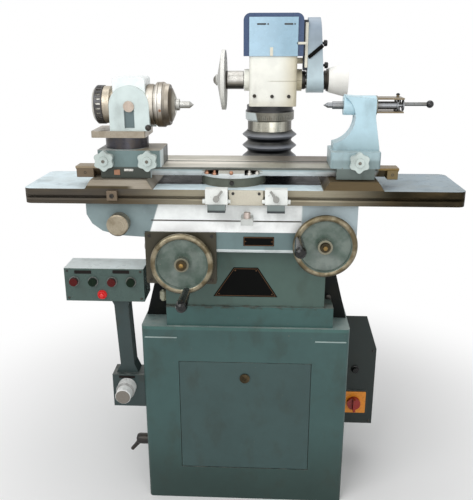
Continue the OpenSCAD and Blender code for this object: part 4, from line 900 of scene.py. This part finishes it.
# %% Loops of points
SIDES = 24
FACES = {
    "front": ((1, 0, 0), (0, 0, 1), (0, -1, 0)),
    "right": ((0, 1, 0), (0, 0, 1), (1, 0, 0)),
    "left": ((0, -1, 0), (0, 0, 1), (-1, 0, 0)),
    "top": ((1, 0, 0), (0, 1, 0), (0, 0, 1)),
}


def at(facing, x, y, z, turn=0.0):
    """Stands a flat drawing on a face of the machine, turned in its own plane."""
    matrix = Matrix(FACES[facing]).transposed().to_4x4()
    matrix.translation = (x, y, z)
    return matrix @ Matrix.Rotation(math.radians(turn), 4, "Z")


def circle(r, z=0.0, sides=SIDES):
    angles = [2 * math.pi * i / sides for i in range(sides)]
    return [Vector((r * math.cos(a), r * math.sin(a), z)) for a in angles]


def hexagon(r, z=0.0, sides=SIDES):
    """A hexagon with as many points as a circle, so that the two can be joined."""
    corners = circle(r, z, 6)
    each = sides // 6
    return [corners[i // each].lerp(corners[(i // each + 1) % 6], i % each / each) for i in range(sides)]


def oblong(w, h, r, z=0.0, steps=5):
    """A rectangle with round corners."""
    points = []
    for k, (cx, cy) in enumerate(((1, 1), (-1, 1), (-1, -1), (1, -1))):
        for i in range(steps):
            a = math.pi / 2 * (k + i / (steps - 1))
            points.append(Vector((cx * (w / 2 - r) + r * math.cos(a), cy * (h / 2 - r) + r * math.sin(a), z)))
    return points


def outline(points, z=0.0):
    return [Vector((x, y, z)) for x, y in points]


def shrunk(loop, by, z):
    """A loop drawn the other way of the clock, moved in by the same amount all round."""
    moved = []
    for before, here, after in zip(loop[-1:] + loop[:-1], loop, loop[1:] + loop[:1]):
        first, second = (here - before).normalized(), (after - here).normalized()
        left, right = Vector((-first.y, first.x, 0)), Vector((-second.y, second.x, 0))
        step = (left + right) / max(0.2, 1 + left.dot(right))
        moved.append(Vector((here.x + step.x * by, here.y + step.y * by, z)))
    return moved


print("a screw head has", len(circle(1)), "sides")

# %% [markdown]
# ## Solids from loops
# A skin joins one loop to the next and caps both ends. Modifiers could thicken and bevel a flat drawing.
# Here the loops give the chamfer, the socket and the dome in the same stroke, so the mesh is final.
# A piece is a list of such drawings, made into one object that rides on one body.

# %% Plates, screws and pieces


def skin(mesh, place, rings, closed=False):
    """Joins rings of points by faces, and caps the ends or joins the last ring to the first."""
    rows = [[mesh.verts.new(place @ point) for point in ring] for ring in rings]
    count = len(rows[0])
    for low, high in zip(rows, rows[1:] + rows[:1] if closed else rows[1:]):
        for i in range(count):
            j = (i + 1) % count
            mesh.faces.new((low[i], low[j], high[j], high[i]))
    if not closed:
        mesh.faces.new(rows[0][::-1])
        mesh.faces.new(rows[-1])


def plate(mesh, place, loop, thick, chamfer=0.6):
    top = [p + Vector((0, 0, thick - chamfer)) for p in loop]
    skin(mesh, place, [loop, top, shrunk(loop, chamfer, thick)])


def border(mesh, place, loop, wide, low, high):
    """A raised rim that follows a loop."""
    inner = shrunk(loop, wide, low)
    levels = ((loop, low), (loop, high), (inner, high), (inner, low))
    skin(mesh, place, [[Vector((p.x, p.y, z)) for p in ring] for ring, z in levels], closed=True)


def lathe(mesh, place, profile, sides=SIDES):
    skin(mesh, place, [circle(r, z, sides) for r, z in profile])


def collar(mesh, place, profile, sides=SIDES * 2):
    """A turned ring with a hole through it."""
    skin(mesh, place, [circle(r, z, sides) for r, z in profile], closed=True)


def cap_screw(mesh, place, r, h):
    """A round head with a hexagon socket."""
    head = [circle(r), circle(r, h - 0.12 * r), circle(0.88 * r, h)]
    skin(mesh, place, head + [hexagon(0.55 * r, h), hexagon(0.55 * r, 0.4 * h)])


def hex_head(mesh, place, r, h):
    skin(mesh, place, [hexagon(r), hexagon(r, 0.85 * h), circle(0.84 * r, h)])


def dome(mesh, place, r, h, steps=5):
    arc = [math.pi / 2 * i / steps for i in range(steps)]
    lathe(mesh, place, [(r * math.cos(a), h * math.sin(a)) for a in arc] + [(0.12 * r, h)])


def strips(y, spans, h, r, thick, chamfer):
    """Flat bars on a front face, each from one x to another at its height."""
    return [
        (plate, at("front", (x0 + x1) / 2, y, z), oblong(x1 - x0, h, r), thick, chamfer)
        for x0, x1, z in spans
    ]


PIECES = []
SHARP = math.radians(35)


def piece(name, body, slot, finish, *drawings):
    """Turns drawings into one object that rides on a body. A drawing is a shape, its place and its sizes."""
    mesh = bmesh.new()
    for shape, place, *sizes in drawings:
        shape(mesh, place, *sizes)
    bmesh.ops.recalc_face_normals(mesh, faces=mesh.faces)
    bmesh.ops.scale(mesh, vec=(MM, MM, MM), verts=mesh.verts)
    data = bpy.data.meshes.new(name)
    mesh.to_mesh(data)
    mesh.free()
    data.polygons.foreach_set("use_smooth", [True] * len(data.polygons))
    data.set_sharp_from_angle(angle=SHARP)
    data.materials.append(finish.made)
    thing = bpy.data.objects.new(name, data)
    bpy.context.scene.collection.objects.link(thing)
    if body:
        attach(thing, body)
    PIECES.append(name)
    return thing


print("edges stay sharp over", round(math.degrees(SHARP)), "degrees")

# %% [markdown]
# ## Finishes for small pieces
# Small pieces share a few finishes: brass, blackened screws, bright steel, black paint, and white and orange
# plastic. They could be made piece by piece. Made once and handed out, every screw of a kind ages alike.

# %% Small finishes


def bare_metal(name, shade, stain=0.35, metal=0.85):
    return finished(name, lambda f: ground(f, shade, (1, 1, 1), stain, metal), 0.4)


brass = bare_metal("brass", tint(142, 114, 66))
bronze_line = bare_metal("bronze_line", tint(104, 72, 46), 0.4, 0.6)
brown_steel = bare_metal("brown_steel", tint(116, 102, 86), 0.4, 0.5)
gold_steel = bare_metal("gold_steel", tint(106, 92, 60), 0.4, 0.6)
black_steel = bare_metal("black_steel", tint(46, 45, 44), 0.3, 0.5)
bright_steel = bare_metal("bright_steel", tint(196, 193, 186))
grey_steel = bare_metal("grey_steel", tint(118, 116, 110), 0.3, 0.6)
copper_screw = bare_metal("copper_screw", tint(172, 128, 104))
kept_clean = {"gloss": 0.34, "grime": 0.05, "rub": 0.1, "chipped": 0.0}
black_paint = painted("black_paint", tint(9, 10, 9), mirror=0.05, **kept_clean)
cream_strip = painted("cream_strip", tint(228, 224, 208), gloss=0.32, grime=0.3)
pale_steel = bare_metal("pale_steel", tint(196, 191, 175), 0.30, 0.45)
dark_label = moulded("dark_label", tint(16, 8, 6), 0.4, 0.1, Specular_IOR_Level=0.2)
white_label = moulded("white_label", tint(214, 212, 205), 0.35, 0.4)
orange_plate = moulded("orange_plate", tint(226, 138, 28), 0.32, 0.3)
black_knob = moulded("black_knob", tint(6, 7, 7), 0.24, 0.1, Specular_IOR_Level=0.3)
clear_oil = moulded("oil_glass", tint(150, 150, 128), 0.10, 0.3)
lid_paint = painted("lid_paint", tint(40, 48, 45))
# Painted highlight: the beads are much lighter than the cabinet's paint.
bead_highlight_paint = painted("bead_highlight_paint", tint(150, 168, 165))
bezel_steel = bare_metal("bezel_steel", tint(128, 132, 130), 0.3, 0.7)
bracket_paint = painted("bracket_paint", tint(30, 36, 46))
print("small finishes ready")

# %% [markdown]
# ## Bellows
# A rubber bellows keeps grit off the column. Its solid is a plain zigzag that stands for it in the motion.
# The seen one is a turned wall: thin crests, round valleys and a plain cuff below. Cloth simulation could
# crease it, but moulded rubber keeps its folds. It stretches between the guide tube and the column, and here
# it rides on no body.

# %% Bellows
BELLOWS_LOW, BELLOWS_HIGH, CUFF_HIGH = 1030.3, 1133.7, 1037.2
FOLD_OUT, FOLD_IN, FOLD_PITCH, WALL = 83.6, 67.6, 33.5, 2.4
STEPS_A_FOLD, BELLOWS_SIDES = 24, 96


def bellows_profile():
    """Outer line from the cuff up: the folds are round in the valleys and sharp on the crests."""
    line = [(FOLD_IN + 3.4, BELLOWS_LOW), (FOLD_IN + 3.4, CUFF_HIGH - 3), (FOLD_IN + 1.2, CUFF_HIGH - 1)]
    steps = int((BELLOWS_HIGH - CUFF_HIGH) / FOLD_PITCH * STEPS_A_FOLD)
    for i in range(steps + 1):
        turn = i / STEPS_A_FOLD
        crest = 0.6 * (1 - abs(math.cos(math.pi * turn))) + 0.4 * math.sin(math.pi * turn) ** 2
        line.append((FOLD_IN + (FOLD_OUT - FOLD_IN) * crest, CUFF_HIGH + FOLD_PITCH * turn))
    return line + [(FOLD_IN + 2.4, BELLOWS_HIGH)]


def bellows_skin(f):
    crest = f.ease(f.radius("z", COLUMN_AXIS), 70, 82)
    dusty = f.up(0.0, 0.7) * f.noise(70, 0.25, 0.70, 2)
    # Painted light: the crests are light as a highlight and the valleys near black as shade.
    tone = f.mix(crest, tint(12, 14, 17), tint(128, 132, 140))
    tone = f.mix(dusty * 0.4, tone, tint(150, 150, 146))
    return Layer(tone, 0.30 + dusty * 0.1, 0.0, f.noise(1.4) * 0.01)


outer = bellows_profile()
inner = [(r - WALL, z) for r, z in reversed(outer)]
wall = (collar, at("top", *COLUMN_AXIS, 0), outer + inner, BELLOWS_SIDES)
bellows_finish = finished("bellows_rubber", bellows_skin, Specular_IOR_Level=0.12)
bellows = piece("folded_bellows", None, "black_rubber", bellows_finish, wall)
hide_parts("bellows")
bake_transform(bellows)
print("bellows faces:", len(bellows.data.polygons))

# %% [markdown]
# ## Plates on the front
# The apron carries a dark shield with a bright rim, and the saddle a small dark plate. Each is bare and held
# by rivets. They could be painted on. As thin solids they catch the light along their rims.

# %% Front plates
APRON_Y, SADDLE_Y = -285, -350
SHIELD = outline(((-92, 692.5), (93.5, 692.5), (36.5, 782), (-33, 782)))
SHIELD_LINE = shrunk(SHIELD, 3.0, 0)
TAG_X, TAG_Z, TAG_W, TAG_H = 38.5, 880.6, 83.0, 26.2
apron_face = at("front", 0, APRON_Y, 0)
saddle_face = at("front", TAG_X, SADDLE_Y, TAG_Z)
shield_rivets = [
    (dome, at("front", corner.x, APRON_Y - 1.5, corner.y), 2.0, 1.2) for corner in shrunk(SHIELD_LINE, 6.0, 0)
]
tag_rivets = [
    (dome, at("front", TAG_X + side * (TAG_W / 2 - 6), SADDLE_Y - 1.3, TAG_Z), 1.8, 1.2) for side in (-1, 1)
]
shield_rim = (border, apron_face, SHIELD_LINE, 1.1, 1.4, 2.0)
tag = (plate, saddle_face, oblong(TAG_W, TAG_H, 1.5), 1.4)
tag_rim = (border, saddle_face, oblong(TAG_W - 3, TAG_H - 3, 1.2), 1.3, 1.2, 2.0)
piece("apron_shield", "base", "dark_steel", black_paint, (plate, apron_face, SHIELD, 1.6))
piece("apron_shield_rim", "base", "lock_brass", bronze_line, shield_rim, *shield_rivets)
piece("saddle_plate", "cross_slide", "dark_steel", black_paint, tag)
piece("saddle_plate_rim", "cross_slide", "lock_brass", bronze_line, tag_rim, *tag_rivets)
print("pieces:", len(PIECES))

# %% [markdown]
# ## Cabinet, switch box and push-button box
# The sheet-metal boxes carry what hands use every day: an orange isolator plate, a key knob, bezels around
# the buttons, bare label strips, and beads where the cabinet's sheet is joined. One mesh could hold all of
# it. A piece for each kind keeps its own finish, and screws of a kind share one.

# %% Box trim
FRONT_Y, BOX_Y, POST_Y, LID_THICK = -300, -100, -290, 2.4
ISOLATOR_X, ISOLATOR_Z = 358, 242
KEY = [(13, 0), (13, 3), (10, 4), (10, 12), (8.5, 14), (3, 14.3)]
BEZEL = [(12.6, 0), (15.2, 0), (15.2, 2), (14.2, 3.4), (12.6, 3.4)]
SKIRT = [(9.2, 0), (13.8, 0), (13.6, 3), (12.2, 7), (9.2, 10)]
lid = (plate, at("front", ISOLATOR_X, BOX_Y, ISOLATOR_Z), oblong(92, 92, 5), LID_THICK, 0.8)
orange = (plate, at("front", ISOLATOR_X, BOX_Y - LID_THICK, ISOLATOR_Z), oblong(80, 80, 4), 2.2, 0.6)
beads = strips(FRONT_Y, ((-296, -200, 565), (205, 296, 560)), 4, 1.9, 2.0, 0.9)
labels = strips(FRONT_Y, ((-490, -441, 766), (-379, -331, 768)), 10, 1.5, 1.2, 0.4)
bezels = [(collar, at("front", x, FRONT_Y, 738), BEZEL) for x in (-492, -437, -382, -327)]
screws = [(dome, at("front", x, FRONT_Y, z), 3.6, 2.0) for x in (-511, -299) for z in (686, 769)]
for x, z in ((316, 171), (412, 171), (412, 432), (316, 545)):
    screws.append((dome, at("front", x, BOX_Y, z), 4.2, 2.2))
piece("isolator_lid", "base", "dark_enamel", lid_paint, lid)
piece("isolator_plate", "base", "brown_plate", orange_plate, orange)
piece("key_knob", "base", "black_plastic", black_knob, (lathe, at("front", 357, BOX_Y, 365), KEY))
piece("cabinet_beads", "base", "machine_enamel", bead_highlight_paint, *beads)
piece("button_bezels", "base", "dark_steel", bezel_steel, *bezels)
piece("lamp_skirt", "base", "lamp_red", lens_red, (collar, at("front", -413, FRONT_Y, 698), SKIRT))
piece("button_labels", "base", "brown_plate", dark_label, *labels)
switch_strip = strips(POST_Y, ((-383, -334, 424.5),), 8, 1.2, 1.0, 0.4)
piece("switch_label", "base", "brown_plate", dark_label, *switch_strip)
piece("box_screws", "base", "dark_steel", black_steel, *screws)
print("pieces:", len(PIECES))

# %% [markdown]
# ## Side cock
# A drain cock sticks out low on the left: a round body and a bent arm. A curve with a bevel could draw it.
# Two turned pieces are enough, the second aimed along the arm.

# %% Side cock
COCK = [(13, 0), (17, 2), (17, 34), (14, 41), (5, 44)]
arm_start, arm_end = Vector((-338, -252, 174)), Vector((-366, -255, 141))
arm = (arm_end - arm_start).to_track_quat("Z", "Y").to_matrix().to_4x4()
arm.translation = arm_start
run = (arm_end - arm_start).length
cock_body = (lathe, at("left", -305, -250, 180), COCK)
cock_arm = (lathe, arm, [(9, 0), (6.5, 0.4 * run), (6, run - 3), (3, run)])
piece("side_cock", "base", "dark_steel", black_steel, cock_body, cock_arm)
print("arm:", round(run, 1), "mm")

# %% [markdown]
# ## Wheelhead trim
# The wheelhead has two slotted vents in its blue cover, a bracket, a strap and two knobs that hold the belt
# guard, a bearing cap, spindle nuts and three dark screws along its foot. The vents could be cut through.
# The cover is closed behind them, so thin dark bars stand in for them: a painted shade inside the slots.

# %% Wheelhead trim
PANEL_Y, HOUSE_Y, GUARD_Y = -68, -62, -45
SPINDLE_Z = SPINDLE_AXIS[1]
STRAP_LEAN = math.degrees(math.atan2(34, 41))
KNOB = [(4, 0), (4, 6), (9, 7), (9, 15), (7, 17), (2, 17.4)]
vents = strips(
    PANEL_Y, ((24, 50, 1440), (53.5, 58, 1440), (102, 127, 1440), (130, 134, 1440)), 4.4, 1.8, 0.8, 0.3
)
HOUSE_SCREWS = ((18, 1240), (69.8, 1238.6), (118.9, 1238.8))
house_screws = [(cap_screw, at("front", x, HOUSE_Y, z), 5.2, 4.5) for x, z in HOUSE_SCREWS]
cover_strips = [
    (plate, at("front", 66.5, PANEL_Y, 1365), oblong(9, 24, 1), 1.5, 0.5),
    (plate, at("front", 152, HOUSE_Y, 1388), oblong(28, 7, 1.5), 6.0, 0.8),
    (plate, at("front", 167.4, GUARD_Y - 1, 1382.5), oblong(8.6, 125, 1.5), 3.0, 0.6),
]
bracket = [(plate, at("front", 165.2, -16, 1382), oblong(13.2, 140, 2), 29.8, 1.0)]
bracket += [(hex_head, at("front", 161.5, GUARD_Y - 0.7, z), 3.0, 2.2) for z in (1330, 1440)]
strap = [(plate, at("front", 194.5, GUARD_Y, 1365, STRAP_LEAN), oblong(53, 11, 2), 4.0, 0.8)]
strap += [(dome, at("front", x, GUARD_Y - 4, z), 3.4, 2.2) for x, z in ((179, 1352), (210, 1378))]
guard_knobs = []
for z in (1388, 1326):
    face = 224 - 16 * (z - 1245.3) / 215
    guard_knobs.append((lathe, at("right", face - 1.5, -25, z), KNOB))
piece("cover_vents", "wheelhead", "dark_steel", black_steel, *vents)
piece("housing_screws", "wheelhead", "dark_steel", black_steel, *house_screws)
piece("cover_strips", "wheelhead", "cream_enamel", cream_strip, *cover_strips)
piece("guard_bracket", "wheelhead", "dark_steel", bracket_paint, *bracket)
piece("guard_strap", "wheelhead", "dark_steel", black_paint, *strap)
piece("guard_knobs", "wheelhead", "black_plastic", black_knob, *guard_knobs)
print("pieces:", len(PIECES))

# %% [markdown]
# ## Spindle trim
# A bearing cap with six screws closes the housing, and flanges and nuts hold the two grinding wheels.
# They are turned about the spindle. The flanges and nuts turn with it, and the cap stays with the housing.

# %% Spindle trim
CAP_X, CAP_SCREW_R = 158, 21
CAP = [(15.8, 0), (27, 0), (27, 9), (25, 11), (15.8, 11)]
CUP_FLANGE = [(20.2, 0), (27, 0), (28, 1), (28, 7), (33, 7.4), (33, 11), (31.5, 12.4), (20.2, 12.4)]
DISH_FLANGE = [(20.2, 0), (27, 0), (27, 5.4), (20.2, 5.4)]
DISH_NUT = [(14, 0), (12, 3), (8, 6.6), (3, 8.2), (1, 8.4)]
cap = [(collar, at("right", CAP_X, 0, SPINDLE_Z), CAP)]
for k in range(6):
    a = math.radians(60 * k + 30)
    y, z = CAP_SCREW_R * math.cos(a), SPINDLE_Z + CAP_SCREW_R * math.sin(a)
    cap.append((cap_screw, at("right", CAP_X + 11, y, z), 2.6, 2.4))
flanges = [
    (collar, at("right", 224.4, 0, SPINDLE_Z), CUP_FLANGE),
    (collar, at("right", -69.8, 0, SPINDLE_Z), DISH_FLANGE),
]
nuts = [
    (lathe, at("left", -100.2, 0, SPINDLE_Z), DISH_NUT),
    (hex_head, at("right", 251.5, 0, SPINDLE_Z), 16, 9),
]
piece("bearing_cap", "wheelhead", "dark_steel", black_steel, *cap)
piece("wheel_flanges", "spindle", "dark_steel", black_steel, *flanges)
piece("spindle_nuts", "spindle", "bright_steel", grey_steel, *nuts)
print("pieces:", len(PIECES))

# %% [markdown]
# ## Table trim
# The tables carry the stop plate in the middle, a stop block at the left, and the clamp bolts of the swivel,
# which stand in two windows of the round flange. The end blocks fill the slope under the swivel table's ends.
# All of it rides on the table it is bolted to, so the swivel takes its own trim along.

# %% Table trim
TABLE_Y, UPPER_Y, FLANGE_R = -370, -340, 112
SWIVEL_X, SWIVEL_Y = SWIVEL_AXIS
BLOCK_X, BLOCK_Z, BLOCK_DEEP = -346, 1010, 14


def clamp_bolts(*places):
    """Nuts and stud ends that stand in a window of the swivel flange."""
    drawings = []
    for dx in places:
        y = SWIVEL_Y - math.sqrt(FLANGE_R**2 - dx**2) + 14
        drawings.append((hex_head, at("top", SWIVEL_X + dx, y, 1059.9), 7.5, 6))
        drawings.append((lathe, at("top", SWIVEL_X + dx, y, 1065.4), [(4, 0), (4, 5), (3.2, 5.8)]))
    return drawings


def end_block(x0, x1):
    """A stop that fills the slope under an end of the swivel table, level with its front edge."""
    place = at("front", (x0 + x1) / 2, UPPER_Y + 38, 1062.5)
    return (plate, place, oblong(x1 - x0, 24, 1.5), 37.9, 0.8)


stop_plate = (plate, at("front", 5, TABLE_Y, 1006), oblong(90, 40, 2.5), 5.6, 1.0)
stop_bolts = [(hex_head, at("front", x, TABLE_Y - 5.4, 1018), 4.2, 3) for x in (-29, 39)]
stop_bolts.append((cap_screw, at("front", BLOCK_X, TABLE_Y - BLOCK_DEEP + 0.2, BLOCK_Z), 6, 3))
stop_block = (plate, at("front", BLOCK_X, TABLE_Y, BLOCK_Z), oblong(28, 26, 2), BLOCK_DEEP, 1.2)
flange_screw = (dome, at("front", SWIVEL_X, SWIVEL_Y - 111.6, 1069), 5.5, 4)
table_screws = [(cap_screw, at("front", x, UPPER_Y + 2, 1063), 4.2, 2.1) for x in (-424, 384)]
boss_pin = (lathe, at("front", SWIVEL_X, SWIVEL_Y - 87.5, 1038), [(6, 0), (6, 7), (4.5, 8.5)])
piece("stop_plate", "table", "ground_steel", pale_steel, stop_plate)
piece("stop_bolts", "table", "dark_steel", black_steel, *stop_bolts)
piece("stop_block", "table", "brown_plate", brown_steel, stop_block)
piece("left_clamp_bolts", "swivel_table", "brown_plate", copper_screw, *clamp_bolts(-66, -45))
piece("right_clamp_bolts", "swivel_table", "bright_steel", bright_steel, *clamp_bolts(46, 66))
piece("flange_screw", "swivel_table", "bright_steel", copper_screw, flange_screw)
piece("left_end_block", "swivel_table", "brown_plate", brown_steel, end_block(-447, -401))
piece("right_end_block", "swivel_table", "brown_plate", gold_steel, end_block(370, 398))
piece("table_screws", "swivel_table", "dark_steel", black_steel, *table_screws)
piece("boss_pin", "table", "dark_steel", black_steel, boss_pin)
print("pieces:", len(PIECES))

# %% [markdown]
# ## Workhead and tailstock trim
# The work nose has a turned step and three screws, and a steel ring stands between it and the workhead.
# A scale lies on the workhead's foot, the star knobs have screws in their middles, and an acorn nut holds
# the lever's pin. The step could be part of the spindle's solid. As a ring of its own it takes its own edge.

# %% Workhead and tailstock trim
NOSE_STEP = [(40, 0), (55.4, 0), (54.4, 2), (53.4, 13), (51.4, 16.5), (40, 16.5)]
SHROUD = [(24, 0), (51, 0), (53.4, 3), (53.4, 14), (51, 18.6), (24, 18.6)]
NOSE_SCREW_X, NOSE_SCREW_R = -218, 57.6
FOOT_Y, STAR_Y, STAR_Z = -352, -372.2, 1098.2
STARS = {"left_star": -366, "right_star": -252, "tail_star": 294}
nose_screws = []
for k in range(3):
    a = math.radians(120 * k + 190)
    out = Vector((0, math.cos(a), math.sin(a)))
    place = out.to_track_quat("Z", "X").to_matrix().to_4x4()
    place.translation = Vector((NOSE_SCREW_X, *WORK_AXIS)) + out * NOSE_SCREW_R
    nose_screws.append((cap_screw, place, 3.4, 2.4))
for star, x in STARS.items():
    socket = (cap_screw, at("front", x, STAR_Y, STAR_Z), 4.2, 1.6)
    piece(star + "_socket", star, "dark_steel", grey_steel, socket)
step = (collar, at("right", -213, *WORK_AXIS), NOSE_STEP)
shroud = (collar, at("right", -256.4, *WORK_AXIS), SHROUD)
scale_block = (plate, at("front", -335, FOOT_Y, 1067), oblong(16, 14, 1.5), 2.5, 0.6)
scale_strip = (plate, at("front", -304, FOOT_Y, 1073), oblong(24, 6, 1), 1.2, 0.4)
piece("nose_screws", "work_nose", "lock_brass", copper_screw, *nose_screws)
piece("nose_ring", "work_nose", "bright_steel", nose_finish, step)
piece("nose_shroud", "workhead", "bright_steel", shroud_steel, shroud)
piece("yoke_bolt", "yoke", "dark_steel", black_steel, (dome, at("front", -250, -340, 1181), 8, 7))
piece("scale_block", "workhead_foot", "brown_plate", copper_screw, scale_block)
piece("scale_strip", "workhead_foot", "white_plastic", white_label, scale_strip)
piece("acorn_nut", "tailstock", "black_plastic", black_knob, (dome, at("top", 400, -250, 1258.9), 5.4, 4.6))
print("pieces:", len(PIECES))

# %% [markdown]
# ## Lower trim
# Last come the gearbox's screws and plug, the nuts of the two front handwheels, an oil cup and a plug on the
# pedestal. The nuts ride on their wheels, so that they turn with them.

# %% Lower trim
GEARBOX_Y = -355
CUP = [(7, 0), (7, 4), (10, 5), (10, 26), (8.5, 29), (4, 30), (4, 33), (1.5, 34)]
gearbox_screws = [
    (cap_screw, at("front", x, GEARBOX_Y, z), 4.5, 2.5) for x in (-258, -88) for z in (768, 895)
]
gearbox_plug = (dome, at("left", -270, -342, 862), 11, 4)
wheel_nut = (hex_head, at("front", TRAVERSE_AXIS[0], -388.2, TRAVERSE_AXIS[1]), 6.5, 4)
screw_nut = (dome, at("front", CROSS_AXIS[0], -393.2, CROSS_AXIS[1]), 7, 4)
oil_cup = (lathe, at("top", -242, -262, 668), CUP)
oil_pipe = (lathe, at("right", -246, -262, 672), [(4, 0), (4, 17)])
pedestal_plug = (lathe, at("front", 245, -215, 668), [(9, 0), (9, 5), (6, 7), (2, 7.2)])
piece("gearbox_plug", "cross_slide", "bright_steel", bright_steel, gearbox_plug)
piece("gearbox_screws", "cross_slide", "dark_steel", black_steel, *gearbox_screws)
piece("traverse_wheel_nut", "traverse_wheel", "lock_brass", brass, wheel_nut)
piece("cross_wheel_nut", "cross_wheel", "lock_brass", brass, screw_nut)
piece("oil_cup", "base", "bright_steel", clear_oil, oil_cup, oil_pipe)
piece("pedestal_plug", "base", "dark_steel", black_steel, pedestal_plug)
print("pieces:", len(PIECES))

# %% [markdown] ## Size The box of the dressed machine is printed beside the box of its solids.
# The dressed machine must stay in the box of its solids.

# %% Size
size = {"cad": cad_box, "visual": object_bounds()}
for name, box in size.items():
    print(name, [[round(v, 4) for v in corner] for corner in box])
